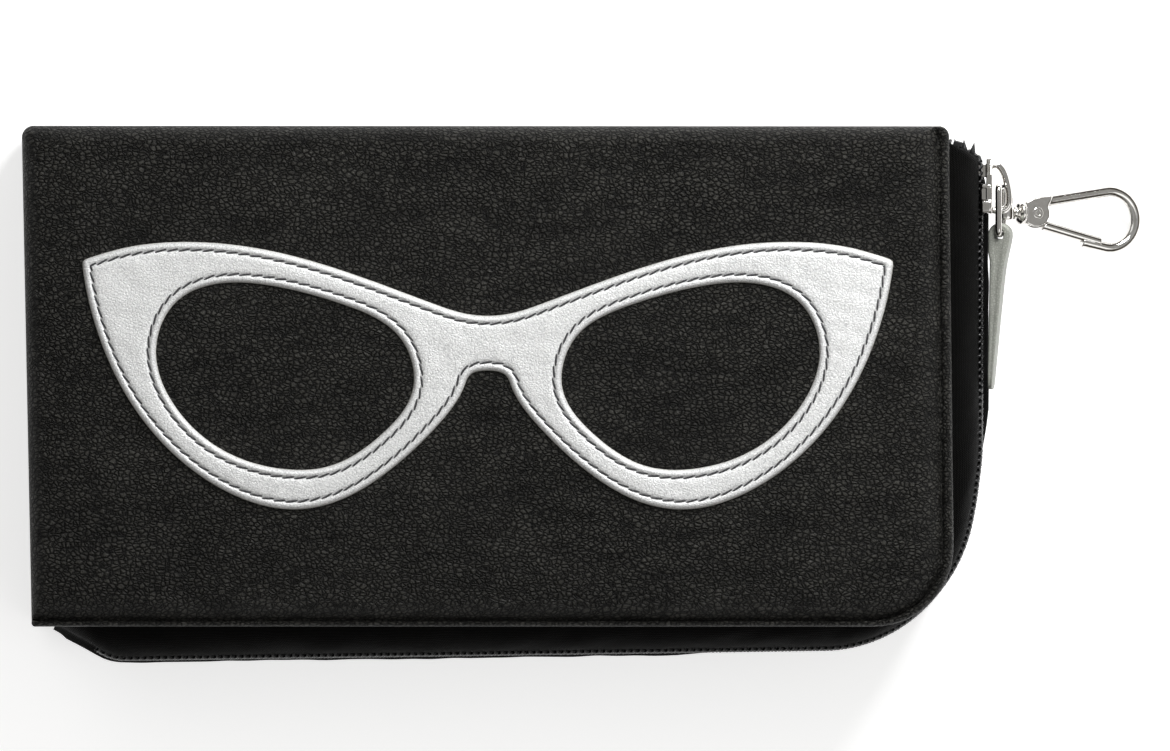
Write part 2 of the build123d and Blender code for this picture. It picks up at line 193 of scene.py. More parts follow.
def tube(path, radii, sides):
    """Points and faces of a tube along a path; radii is (in the frame's normal, in its side)."""
    path = np.asarray(path, float)
    ahead = np.gradient(path, axis=0)
    ahead /= np.linalg.norm(ahead, axis=1)[:, None]
    normal = np.cross(ahead[0], (0.31, 0.17, 0.93))
    points = []
    for place, direction in zip(path, ahead):
        normal = normal - direction * normal.dot(direction)
        normal /= np.linalg.norm(normal)
        side = np.cross(direction, normal)
        points += [place + normal * radii[0] * cos(turn) + side * radii[1] * sin(turn)
                   for turn in turns(sides)]
    return points, rod_faces(len(path), sides)


def squircle(sides, across, up):
    """A rounded section of unit size, as (across, up) places; lower powers are squarer."""
    c, s = np.cos(turns(sides)), np.sin(turns(sides))
    return np.sign(c) * np.abs(c) ** across, np.sign(s) * np.abs(s) ** up


def outward(route):
    """The normals of an open route, to its left."""
    ahead = np.gradient(route, axis=0)
    ahead /= np.linalg.norm(ahead, axis=1)[:, None]
    return np.stack([-ahead[:, 1], ahead[:, 0]], axis=1)


def ribbon(route, reach, half, section, level=0.0):
    """Points and faces of a bar along a flat route. Its half sizes across the route and in
    height are reach and half, each a number or one for every point of the route."""
    across, up = section
    reach, half = (np.broadcast_to(size, len(route))[:, None] for size in (reach, half))
    flat = route[:, None] + outward(route)[:, None] * (reach * across)[..., None]
    points = np.concatenate([flat, (level + half * up)[..., None]], axis=2)
    return points.reshape(-1, 3), rod_faces(len(route), len(across))


def distance_along(line):
    return np.concatenate([[0], np.cumsum(np.linalg.norm(np.diff(line, axis=0), axis=1))])


def picked(line, places):
    """The points of a line at the given distances along it."""
    along = distance_along(line)
    return np.array([np.interp(places, along, line[:, k]) for k in range(line.shape[1])]).T


def resample(points, spacing, closed=True):
    """Points at an even spacing along a polyline."""
    points = np.asarray(points, float)
    if closed:
        points = np.vstack([points, points[:1]])
    total = distance_along(points)[-1]
    count = max(4, int(round(total / spacing)))
    places = np.linspace(0, total, count + 1)
    return picked(points, places[:-1] if closed else places)


def normals_2d(loop):
    """The normals of a closed loop, to its left."""
    ahead = np.roll(loop, -1, axis=0) - np.roll(loop, 1, axis=0)
    ahead /= np.linalg.norm(ahead, axis=1)[:, None]
    return np.stack([-ahead[:, 1], ahead[:, 0]], axis=1)


def nearest(points, line):
    """(distance, place along) of the nearest point of an open line, for each point."""
    start = line[None, :-1]
    run = np.diff(line, axis=0)[None]
    along = distance_along(line)[:-1]
    lengths = np.linalg.norm(run[0], axis=1)
    best, place = np.empty(len(points)), np.empty(len(points))
    for k in range(0, len(points), CHUNK):
        away = points[k:k + CHUNK, None] - start
        share = np.clip((away * run).sum(2) / np.maximum((run ** 2).sum(2), 1e-12), 0, 1)
        gap = np.linalg.norm(away - run * share[:, :, None], axis=2)
        which = gap.argmin(1)
        rows = np.arange(len(which))
        best[k:k + CHUNK] = gap[rows, which]
        place[k:k + CHUNK] = along[which] + share[rows, which] * lengths[which]
    return best, place


def distance_to(points, loop):
    """Distance of each point to a closed loop."""
    return nearest(points, np.vstack([loop, loop[:1]]))[0]


def waves(x, y, seed, longest, shortest, count=9):
    """Smooth seeded undulation, about -1 to 1."""
    dice = np.random.RandomState(seed)
    total = np.zeros_like(np.asarray(x, float) + np.asarray(y, float))
    for _ in range(count):
        length = np.exp(dice.uniform(np.log(shortest), np.log(longest)))
        heading = dice.uniform(0, pi)
        phase = dice.uniform(0, 2 * pi)
        total += np.sin(2 * pi * (x * cos(heading) + y * sin(heading)) / length + phase)
    return total / count ** 0.5 / 1.6


# ================================================================ routes and outlines

def corner_arc(before, corner, after, radius):
    """(centre, start angle, turn) of the arc that rounds a corner."""
    before, corner, after = (np.asarray(p, float) for p in (before, corner, after))
    to_before = (before - corner) / np.linalg.norm(before - corner)
    to_after = (after - corner) / np.linalg.norm(after - corner)
    middle = to_before + to_after
    half = np.arccos(np.clip(to_before.dot(to_after), -1, 1)) / 2
    centre = corner + middle / np.linalg.norm(middle) * radius / sin(half)
    start = corner + to_before * radius / np.tan(half) - centre
    end = corner + to_after * radius / np.tan(half) - centre
    first = atan2(start[1], start[0])
    turn = (atan2(end[1], end[0]) - first + pi) % (2 * pi) - pi
    return centre, first, turn


def on_arc(centre, angle, radius):
    return centre + radius * np.array([cos(angle), sin(angle)])


def rounded_route(corners, bends, counts):
    """An open route: runs and arcs in turn, each cut into the given number of steps."""
    corners = np.asarray(corners, float)
    pieces = []
    place = corners[0]
    for k, radius in enumerate(bends):
        centre, first, turn = corner_arc(corners[k], corners[k + 1], corners[k + 2], radius)
        start = on_arc(centre, first, radius)
        pieces.append([place + (start - place) * s for s in np.linspace(0, 1, counts[2 * k], False)])
        pieces.append([on_arc(centre, first + turn * s, radius)
                       for s in np.linspace(0, 1, counts[2 * k + 1], False)])
        place = on_arc(centre, first + turn, radius)
    pieces.append([place + (corners[-1] - place) * s for s in np.linspace(0, 1, counts[2 * len(bends)] + 1)])
    return np.array([p for piece in pieces for p in piece])


def edge_steps(length, fine, fine_count, coarse):
    """Places along a side from 0 to 1: fine near both ends, coarse between."""
    near = [fine * k for k in range(fine_count)]
    count = max(4, int((length - 2 * fine * fine_count) / coarse))
    middle = list(np.linspace(fine * fine_count, length - fine * fine_count, count))
    far = [length - n for n in reversed(near)]
    return np.array(near + middle + far) / length


def four_sides(corners, radii, across, up):
    """Bottom, right, top and left of a rounded outline, each cut at the places given.
    The corners run bottom left, bottom right, top right, top left."""
    arcs = [corner_arc(corners[k - 1], corners[k], corners[(k + 1) % 4], radii[k]) for k in range(4)]
    sides = []
    for k in range(4):
        (c0, a0, t0), (c1, a1, t1) = arcs[k], arcs[(k + 1) % 4]
        r0, r1 = radii[k], radii[(k + 1) % 4]
        line = np.array([on_arc(c0, a0 + t0 * s, r0) for s in np.linspace(0.5, 1, 24)]
                        + [on_arc(c1, a1 + t1 * s, r1) for s in np.linspace(0, 0.5, 24)])
        sides.append(picked(line, (across if k % 2 == 0 else up) * distance_along(line)[-1]))
    return sides[0], sides[1], sides[2][::-1], sides[3][::-1]


def filled(sides, across, up):
    """A grid of points, rows from bottom to top, that fills the four sides."""
    bottom, right, top, left = sides
    u = across[None, :, None]
    v = up[:, None, None]
    ruled = (1 - v) * bottom[None] + v * top[None] + (1 - u) * left[:, None] + u * right[:, None]
    bilinear = ((1 - u) * (1 - v) * bottom[0] + u * (1 - v) * bottom[-1]
                + (1 - u) * v * top[0] + u * v * top[-1])
    return ruled - bilinear


def rim_indices(rows, columns):
    """The grid's edge, anticlockwise from the bottom left."""
    rim = [j for j in range(columns)]
    rim += [i * columns + columns - 1 for i in range(1, rows)]
    rim += [(rows - 1) * columns + j for j in range(columns - 2, -1, -1)]
    rim += [i * columns for i in range(rows - 2, 0, -1)]
    return rim


def case_corners(inset=0.0):
    return [(LEFT + LEFT_LEAN + inset, BOTTOM + inset), (RIGHT - inset, BOTTOM + inset),
            (RIGHT - RIGHT_LEAN - inset, TOP - TOP_FALL - inset), (LEFT + inset, TOP - inset)]


CASE_RADII = [0.8 * MM, ZIP_CORNER, CORNER, 2.6 * MM]


# ================================================================ materials

class Paint:
    """A node material built step by step."""

    def __init__(self, name, **constants):
        self.material = bpy.data.materials.new(name)
        self.material.use_nodes = True
        self.tree = self.material.node_tree
        self.shader = self.tree.nodes["Principled BSDF"]
        self.wire(**constants)
        self.place = self.add("TexCoord", {}).outputs["Object"]

    def fill(self, node, sockets):
        """Gives each socket its value, or links it when the value is another node's output."""
        for name, value in sockets.items():
            if isinstance(value, bpy.types.NodeSocket):
                self.tree.links.new(value, node.inputs[name])
            else:
                node.inputs[name].default_value = value

    def add(self, kind, sockets, **settings):
        node = self.tree.nodes.new("ShaderNode" + kind)
        for name, value in settings.items():
            setattr(node, name, value)
        self.fill(node, sockets)
        return node

    def stretched(self, scale, turn=0.0):
        node = self.add("Mapping", {"Scale": scale, "Rotation": (0, 0, turn), "Vector": self.place})
        return node.outputs["Vector"]

    def noise(self, scale, detail=4.0, vector=None):
        sockets = {"Scale": scale, "Detail": detail, "Roughness": 0.55, "Vector": vector or self.place}
        return self.add("TexNoise", sockets).outputs["Fac"]

    def cells(self, scale, vector):
        node = self.add("TexVoronoi", {"Scale": scale, "Vector": vector}, feature="DISTANCE_TO_EDGE")
        return node.outputs["Distance"]

    def wave(self, scale, direction, distortion, vector=None):
        sockets = {"Scale": scale, "Distortion": distortion, "Vector": vector or self.place}
        return self.add("TexWave", sockets, bands_direction=direction).outputs["Fac"]

    def warped(self, scale, amount, vector=None):
        """The place, pushed about by noise, so that cells come out uneven."""
        vector = vector or self.place
        push = self.add("TexNoise", {"Scale": scale, "Vector": vector}).outputs["Color"]
        sockets = {0: push, 1: (amount, amount, amount), 2: vector}
        return self.add("VectorMath", sockets, operation="MULTIPLY_ADD").outputs["Vector"]

    def times(self, a, b):
        return self.add("Math", {0: a, 1: b}, operation="MULTIPLY").outputs[0]

    def total(self, *terms):
        """The sum of outputs; a pair is an output and its weight."""
        parts = [self.times(*term) if isinstance(term, tuple) else term for term in terms]
        result = parts[0]
        for part in parts[1:]:
            result = self.add("Math", {0: result, 1: part}, operation="ADD").outputs[0]
        return result

    def remap(self, value, low, high, to_low=0.0, to_high=1.0):
        sockets = {"Value": value, "From Min": low, "From Max": high, "To Min": to_low, "To Max": to_high}
        return self.add("MapRange", sockets).outputs["Result"]

    def attribute(self, name):
        return self.add("Attribute", {}, attribute_name=name).outputs["Fac"]

    def colour(self, factor, low, high):
        """A mix of two colours, each three numbers or another node's output."""
        low, high = ((*end, 1) if isinstance(end, tuple) else end for end in (low, high))
        sockets = {"Factor": factor, "A": low, "B": high}
        return self.add("Mix", sockets, data_type="RGBA").outputs["Result"]

    def bump(self, height, depth):
        sockets = {"Strength": 1.0, "Distance": depth, "Height": height}
        return self.add("Bump", sockets).outputs["Normal"]

    def wire(self, **sockets):
        self.fill(self.shader, {name.replace("_", " "): value for name, value in sockets.items()})
        return self.material


def black_leather(name, depth):
    paint = Paint(name, Specular_IOR_Level=0.15)
    wide = paint.stretched((0.72, 1.0, 1.0))
    pebble = paint.remap(paint.cells(1 / PEBBLE, paint.warped(420, 0.9 * MM, wide)), 0.0, 0.32)
    small = paint.remap(paint.cells(2.3 / PEBBLE, paint.warped(900, 0.4 * MM, wide)), 0.0, 0.3)
    creases = paint.remap(paint.noise(260, 5, paint.stretched((0.35, 1.0, 1.0))), 0.3, 0.62)
    height = paint.total((pebble, 0.7), (small, 0.22), (creases, 0.45), (paint.noise(5200, 2), 0.12))
    # Painted light: the pebble tops are lightened as a painted highlight and the creases between them are
    # darkened as painted shade; patchy adds random tone.
    lit_pebble_tops = paint.times(pebble, paint.remap(creases, 0.0, 1.0, 0.45, 1.0))
    patchy = paint.noise(38, 3)
    tone = paint.remap(paint.total(lit_pebble_tops, (patchy, 0.16)), 0.1, 1.1)
    colour = paint.colour(tone, (0.0004, 0.0004, 0.0004), (0.050, 0.0487, 0.0435))
    rough = paint.remap(paint.total(lit_pebble_tops, patchy), 0.2, 1.5, 0.56, 0.38)
    return paint.wire(Base_Color=colour, Roughness=rough, Normal=paint.bump(height, depth))


def silver_leather():
    paint = Paint("silver_leather", Metallic=0.2, Specular_IOR_Level=0.6)
    grain = paint.warped(800, 0.5 * MM, paint.stretched((0.8, 1.0, 1.0)))
    pebble = paint.remap(paint.cells(1500, grain), 0.0, 0.25)
    creases = paint.remap(paint.noise(420, 5, paint.stretched((0.4, 1.0, 1.0))), 0.33, 0.6)
    speckle = paint.remap(paint.noise(3000, 2), 0.36, 0.58)
    height = paint.total((pebble, 0.6), (creases, 0.6), (speckle, 0.35))
    tone = paint.times(paint.total((pebble, 0.5), speckle), 0.66)
    colour = paint.colour(tone, (0.60, 0.605, 0.61), (0.97, 0.975, 0.97))
    # Painted shade: the seam attribute darkens the leather along the stitch groove.
    colour = paint.colour(paint.attribute("seam"), colour, (0.17, 0.17, 0.175))
    colour = paint.colour(paint.attribute("cut_edge"), colour, (0.62, 0.61, 0.57))
    rough = paint.remap(paint.noise(160, 4), 0.3, 0.7, 0.36, 0.52)
    return paint.wire(Base_Color=colour, Roughness=rough, Normal=paint.bump(height, 0.07 * MM))


def tab_leather():
    paint = Paint("tab_leather", Metallic=0.25, Specular_IOR_Level=0.5)
    pebble = paint.remap(paint.cells(1700, paint.warped(900, 0.4 * MM)), 0.0, 0.3)
    fibres = paint.noise(900, 4, paint.stretched((1.0, 0.25, 1.0)))
    tone = paint.total((pebble, 0.4), (fibres, 0.6))
    colour = paint.colour(tone, (0.20, 0.21, 0.185), (0.40, 0.41, 0.37))
    rough = paint.remap(paint.noise(200, 3), 0.3, 0.7, 0.42, 0.6)
    return paint.wire(Base_Color=colour, Roughness=rough, Normal=paint.bump(tone, 0.08 * MM))


def woven(name, low, high, thread, rough=0.85):
    """Cloth with a fine twill; thread is the width of one yarn."""
    paint = Paint(name, Sheen_Weight=0.01, Sheen_Roughness=0.4, Specular_IOR_Level=0.05)
    scale = 1 / (pi * thread)
    slanted = paint.stretched((1.0, 1.0, 1.0), radians(38))
    warp = paint.wave(scale, "X", 0.3, slanted)
    weft = paint.wave(scale * 1.1, "Y", 0.3, slanted)
    height = paint.total(paint.times(warp, weft), (paint.wave(scale * 0.9, "Z", 0.2), 0.6))
    fuzz = paint.noise(2500, 3)
    tone = paint.total((height, 0.5), (fuzz, 0.4))
    varied = paint.remap(paint.noise(120, 3), 0.3, 0.7, rough - 0.08, rough + 0.05)
    return paint.wire(Base_Color=paint.colour(tone, low, high), Roughness=varied,
                      Normal=paint.bump(paint.total(height, (fuzz, 0.5)), 0.1 * MM))


def nylon():
    paint = Paint("black_nylon", Specular_IOR_Level=0.5)
    smudge = paint.noise(900, 3)
    colour = paint.colour(smudge, (0.006, 0.006, 0.0065), (0.022, 0.022, 0.023))
    rough = paint.remap(smudge, 0.3, 0.7, 0.26, 0.42)
    return paint.wire(Base_Color=colour, Roughness=rough, Normal=paint.bump(paint.noise(4000, 2), 0.02 * MM))


def sewing_thread(name, low, high):
    paint = Paint(name, Sheen_Weight=0.3, Specular_IOR_Level=0.3)
    fuzz = paint.noise(4200, 3)
    tone = paint.total((paint.wave(620, "DIAGONAL", 0.6), 0.6), (fuzz, 0.4))
    rough = paint.remap(fuzz, 0.3, 0.7, 0.6, 0.8)
    return paint.wire(Base_Color=paint.colour(tone, low, high), Roughness=rough,
                      Normal=paint.bump(tone, 0.06 * MM))


def polished_metal(name, low, high, rough_low, rough_high):
    paint = Paint(name, Metallic=1.0)
    cloud = paint.noise(700, 4)
    scratches = paint.noise(2600, 3, paint.stretched((0.15, 1.0, 1.0), radians(20)))
    rough = paint.remap(paint.total(cloud, (scratches, 0.5)), 0.5, 1.1, rough_low, rough_high)
    return paint.wire(Base_Color=paint.colour(cloud, low, high), Roughness=rough,
                      Normal=paint.bump(scratches, 0.006 * MM))


def pale_floor():
    paint = Paint("pale_floor", Specular_IOR_Level=0.1)
    colour = paint.colour(paint.noise(3, 2), (0.86, 0.86, 0.86), (0.9, 0.9, 0.9))
    rough = paint.remap(paint.noise(40, 2), 0.3, 0.7, 0.85, 0.95)
    return paint.wire(Base_Color=colour, Roughness=rough, Emission_Color=(1, 1, 1, 1),
                      Emission_Strength=0.6)


LEATHER = black_leather("black_leather", 0.4 * MM)
SMOOTH_LEATHER = black_leather("black_leather_edge", 0.12 * MM)
SILVER = silver_leather()
TAB = tab_leather()
TAPE = woven("woven_tape", (0.0005, 0.0005, 0.0005), (0.0035, 0.0034, 0.0031), 0.42 * MM)
LINING = woven("lining_cloth", (0.012, 0.012, 0.013), (0.042, 0.042, 0.045), 0.5 * MM, 0.78)
NYLON = nylon()
THREAD_GREY = sewing_thread("grey_thread", (0.02, 0.02, 0.022), (0.085, 0.085, 0.09))
THREAD_BLACK = sewing_thread("black_thread", (0.006, 0.006, 0.006), (0.03, 0.03, 0.03))
NICKEL = polished_metal("polished_nickel", (0.60, 0.58, 0.55), (0.78, 0.77, 0.75), 0.06, 0.18)
FOAM = woven("grey_foam", (0.10, 0.10, 0.105), (0.24, 0.24, 0.25), 0.8 * MM, 0.9)
BOARD = woven("grey_board", (0.20, 0.17, 0.13), (0.36, 0.31, 0.25), 0.9 * MM, 0.9)
STEEL = polished_metal("spring_steel", (0.40, 0.40, 0.40), (0.55, 0.55, 0.54), 0.25, 0.4)


# ================================================================ camera, light, floor

def studio():
    camera_data = bpy.data.cameras.new("camera")
    camera = bpy.data.objects.new("camera", camera_data)
    bpy.context.scene.collection.objects.link(camera)
    frame_width = 255.06 * MM
    away = 6.0
    camera_data.sensor_width = 36.0
    camera_data.lens = camera_data.sensor_width * away / frame_width
    camera_data.clip_end = 20.0
    camera.location = (17.2 * MM, 3.9 * MM, FRONT + away)
    bpy.context.scene.camera = camera

    bpy.ops.mesh.primitive_plane_add(size=6.0)
    floor = bpy.context.object
    floor.name = "floor"
    floor.data.materials.append(pale_floor())

    for name, place, size, power in (("key", (0.26, 0.42, 0.34), 0.24, 3.6),
                                     ("left", (-0.75, 0.75, 1.05), 0.8, 1.6),
                                     ("low", (0.75, -0.45, 0.95), 0.7, 1.8)):
        light_data = bpy.data.lights.new(name, "AREA")
        light_data.size = size
        light_data.energy = power
        light = bpy.data.objects.new(name, light_data)
        light.location = place
        light.rotation_euler = (-Vector(place)).to_track_quat("-Z", "Y").to_euler()
        bpy.context.scene.collection.objects.link(light)

    world = bpy.data.worlds.new("studio")
    bpy.context.scene.world = world
    world.use_nodes = True
    nodes, links = world.node_tree.nodes, world.node_tree.links
    place = nodes.new("ShaderNodeTexCoord")
    split = nodes.new("ShaderNodeSeparateXYZ")
    ramp = nodes.new("ShaderNodeValToRGB")
    links.new(place.outputs["Generated"], split.inputs["Vector"])
    links.new(split.outputs["Z"], ramp.inputs["Fac"])
    stops = ((0.0, (0.16, 0.11, 0.07)), (0.22, (0.08, 0.06, 0.045)), (0.4, (0.2, 0.18, 0.15)),
             (0.53, (0.85, 0.84, 0.8)), (0.82, (1.0, 1.0, 1.0)), (1.0, (0.72, 0.71, 0.68)))
    elements = ramp.color_ramp.elements
    while len(elements) < len(stops):
        elements.new(0.5)
    for element, (position, colour) in zip(elements, stops):
        element.position = position
        element.color = (*colour, 1)
    links.new(ramp.outputs["Color"], nodes["Background"].inputs["Color"])
    nodes["Background"].inputs["Strength"].default_value = 0.42
    bpy.context.scene.view_settings.view_transform = "Standard"


# ================================================================ the covers

def crown(x, y):
    """How far the soft front stands above its edge: a low dome with slow ripples."""
    u = (x - LEFT) / (RIGHT - LEFT) * 2 - 1
    v = (y - BOTTOM) / (TOP - BOTTOM) * 2 - 1
    dome = (1 - np.abs(u) ** 3.2) * (1 - np.abs(v) ** 2.6)
    ripple = waves(x, y, 11, 90 * MM, 34 * MM)
    return (CROWN * dome + 0.28 * MM * ripple * np.clip(dome * 2, 0, 1))


def edge_profile(fold, zipped, along):
    """Drop of the cover's face near its edges: a plain round over the fold and the closed
    side, a seam and a rolled strip along the zip."""
    turn = np.clip((along - BEND_START) / (30 * MM), 0, 1)
    wide = ROLL_BOTTOM + (ROLL - ROLL_BOTTOM) * turn
    inside = np.clip(fold / FOLD_ROUND, 0, 1)
    drop = FOLD_ROUND * (1 - np.sqrt(1 - (1 - inside) ** 2))
    pucker = waves(along, along * 0, 5, 13 * MM, 5.5 * MM, 7)
    share = np.clip((zipped - wide) / (SEAM_SHOULDER + 1.2 * MM * pucker), 0, 1)
    panel = SEAM_DEPTH * np.sqrt(1 - (1 - share) ** 2)
    near = np.exp(-np.clip(zipped - wide, 0, 1) / (3.0 * MM))
    panel = panel + 0.22 * MM * pucker * near * (share > 0)
    half = wide / 2
    bulge = 1 - np.clip(np.abs(zipped - half) / half, 0, 1) ** 2
    roll = ROLL_RISE * np.sqrt(bulge) * (1 + 0.1 * pucker)
    height = np.where(zipped > wide, panel, roll)
    seam = SEAM_DEPTH - height
    return np.maximum(drop, np.where(zipped < SEAM_SHOULDER + ROLL, seam, 0))


def cover_shell(name, rests):
    """The leather of one cover: face, rounded edges, sides and a turned hem. A cover that
    rests on the table is flatter."""
    across = edge_steps(RIGHT - LEFT, 0.24 * MM, 42, 2.0 * MM)
    up = edge_steps(TOP - BOTTOM, 0.24 * MM, 42, 2.0 * MM)
    bottom, right, top, left = sides = four_sides(case_corners(), CASE_RADII, across, up)
    flat = filled(sides, across, up).reshape(-1, 2)
    zipped, along = nearest(flat, resample(np.vstack([bottom, right[1:]]), 1.0 * MM, False))
    fold, _ = nearest(flat, resample(np.vstack([top[::-1], left[::-1][1:]]), 1.0 * MM, False))
    face = FACE - edge_profile(fold, zipped, along)
    if rests:
        lift = 0.12 * MM * (1 + waves(flat[:, 0], flat[:, 1], 3, 80 * MM, 30 * MM))
        face = face + FRONT - FACE - np.clip(lift, 0, 1) * np.clip(fold * 80, 0, 1)
    else:
        face = face + crown(flat[:, 0], flat[:, 1])

    rim = rim_indices(len(up), len(across))
    edge = flat[rim]
    inward = normals_2d(edge)
    zip_share = np.clip(1 - zipped[rim] / (2 * MM), 0, 1)[:, None]
    rings = [(inward * (tuck * 0.9 * MM) * zip_share, face[rim] + (SIDE_END - face[rim]) * share)
             for share, tuck in ((0.12, 0.0), (0.3, 0.05), (0.55, 0.1), (0.8, 0.25), (0.94, 0.5), (1.0, 1.0))]
    rings += [(inward * inset, np.full(len(rim), height))
              for inset, height in ((2.6 * MM, SIDE_END), (3.0 * MM, SIDE_END + 0.6 * MM))]
    points = [np.column_stack([flat, face])]
    faces = grid_faces(len(up), len(across))
    previous, last = rim, len(flat)
    for shift, height in rings:
        points.append(np.column_stack([edge + shift, height]))
        faces += joined(previous, last)
        previous = list(range(last, last + len(rim)))
        last += len(rim)
    points = np.vstack(points)
    faces.append(tuple(reversed(previous)))
    if rests:
        points[:, 2] = FRONT - points[:, 2]
        faces = flipped(faces)
    return make_object(name, points, faces, LEATHER)


def joined(previous, first):
    """Quads between a loop of points and the next loop, which starts at first."""
    count = len(previous)
    return [(previous[k], first + k, first + (k + 1) % count, previous[(k + 1) % count])
            for k in range(count)]


def covers():
    for cover, body, rests in (("front", "front_cover", False), ("back", "root", True)):
        leather = settle(cover_shell(cover + "_leather", rests), body, "black_leather",
                         cover + "_panel", cover + "_binding")


# ================================================================ fold and gusset

def side_curtain(name, line, depth_at, thickness):
    """A soft wall between the two covers along a line; depth_at(along, level) is how far in it lies."""
    layers = []
    for offset in (0.0, thickness):
        for level in np.linspace(0, 1, WALL_ROWS):
            depth = depth_at(distance_along(line), level) + offset
            height = SIDE_LOW + (SIDE_END - SIDE_LOW) * level
            layers.append(np.column_stack([line + outward(line) * depth[:, None],
                                           np.full(len(line), height)]))
    return make_object(name, np.vstack(layers), slab_faces(WALL_ROWS, len(line), True), LEATHER)


def hang(piece, node, flat):
    """Hides a wall's CAD node and bakes the wall's place into its mesh."""
    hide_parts(node)
    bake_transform(piece)


def fold_and_gusset():
    bottom, _, top, left = four_sides(case_corners(), CASE_RADII, np.linspace(0, 1, 150),
                                      np.linspace(0, 1, 90))

    def spine_depth(along, level):
        crease = waves(along, along * 0 + level * 30 * MM, 21, 120 * MM, 18 * MM)
        return (0.65 * MM + 0.3 * MM * crease) * sin(pi * level)

    spine = side_curtain("leather_fold", top[::-1], spine_depth, 1.2 * MM)
    hang(spine, "spine_fold", (SIDE_END - SIDE_LOW, distance_along(top)[-1]))

    line = np.vstack([left[::-1], bottom[1:12]])
    length = distance_along(line)[-1]

    def gusset_depth(along, level):
        folds = 0.5 - 0.5 * cos(4 * pi * level)
        opening = np.clip(along / (26 * MM), 0, 1) ** 0.7
        closing = np.clip((length - along) / (14 * MM), 0, 1) ** 0.8
        soft = 1 + 0.12 * waves(along, along * 0 + level * 20 * MM, 9, 60 * MM, 20 * MM)
        return 0.4 * MM * sin(pi * level) + PLEAT * folds ** 0.8 * opening * closing * soft

    gusset = side_curtain("pleated_gusset", line, gusset_depth, 0.9 * MM)
    depths = [gusset_depth(np.array([length / 2]), level)[0] for level in np.linspace(0, 1, WALL_ROWS)]
    unfolded = np.hypot(np.diff(depths), (SIDE_END - SIDE_LOW) / (WALL_ROWS - 1)).sum()
    hang(gusset, "side_gusset", (unfolded, length))


# ================================================================ the glasses patch

def border_of(polygons):
    """The sides of polygons that no neighbour shares."""
    sides = dict.fromkeys(side for p in polygons for side in zip(p, p[1:] + p[:1]) if side[0] != side[1])
    return [(a, b) for a, b in sides if (b, a) not in sides]


def top_loops(node):
    """The outlines of a flat node's top face, longest first, read from its mesh."""
    mesh = bpy.data.objects[node].data
    top = max(v.co.z for v in mesh.vertices) - 0.02 * MM
    points = {}
    polygons = []
    for polygon in mesh.polygons:
        corners = [mesh.vertices[v].co for v in polygon.vertices]
        if polygon.normal.z >= 0.9 and all(corner.z >= top for corner in corners):
            keys = [tuple(round(c * 1e6) for c in corner[:2]) for corner in corners]
            points.update(zip(keys, (corner[:2] for corner in corners)))
            polygons.append(keys)
    following = dict(border_of(polygons))
    loops = []
    while following:
        start, here = next(iter(following.items()))
        del following[start]
        loop = [start]
        while here != start and here in following:
            loop.append(here)
            here = following.pop(here)
        loops.append(np.array([points[k] for k in loop]))
    loops.sort(key=lambda loop: -distance_along(loop)[-1])
    return [loop for loop in loops if len(loop) > 20]


def inside_loops(points, loops):
    """True for points inside an odd number of loops."""
    inside = np.zeros(len(points), bool)
    for loop in loops:
        x0, y0 = loop[:, 0], loop[:, 1]
        x1, y1 = np.roll(x0, -1), np.roll(y0, -1)
        for k in range(0, len(points), 4000):
            x, y = points[k:k + 4000, 0:1], points[k:k + 4000, 1:2]
            spans = (y0 > y) != (y1 > y)
            cross = x0 + (y - y0) / np.where(y1 == y0, 1e-12, y1 - y0) * (x1 - x0)
            inside[k:k + 4000] ^= (spans & (x < cross)).sum(1) % 2 == 1
    return inside


def front_face(x, y):
    """Height of the front cover's leather away from its edges."""
    return FACE + crown(x, y)


def softened(loop, spacing):
    """The outline with its sharp tips rounded off a little, at an even spacing."""
    for _ in range(22):
        loop = (np.roll(loop, 1, axis=0) + 2 * loop + np.roll(loop, -1, axis=0)) / 4
    return resample(loop, spacing)


def patch_rise(edge, x, y):
    """Height of the patch over the cover, by the distance from its cut edge."""
    rim = PATCH_THICK * (1 - np.exp(-(edge / (0.34 * MM)) ** 0.9))
    groove = 0.34 * MM * np.exp(-((edge - STITCH_INSET) / (0.42 * MM)) ** 2)
    puff = 0.12 * MM * np.exp(-((edge - 0.95 * MM) / (0.4 * MM)) ** 2)
    soft = 0.09 * MM * waves(x, y, 31, 12 * MM, 3.5 * MM) * np.clip((edge - 2 * MM) / (2 * MM), 0, 1)
    return rim - groove + puff + soft


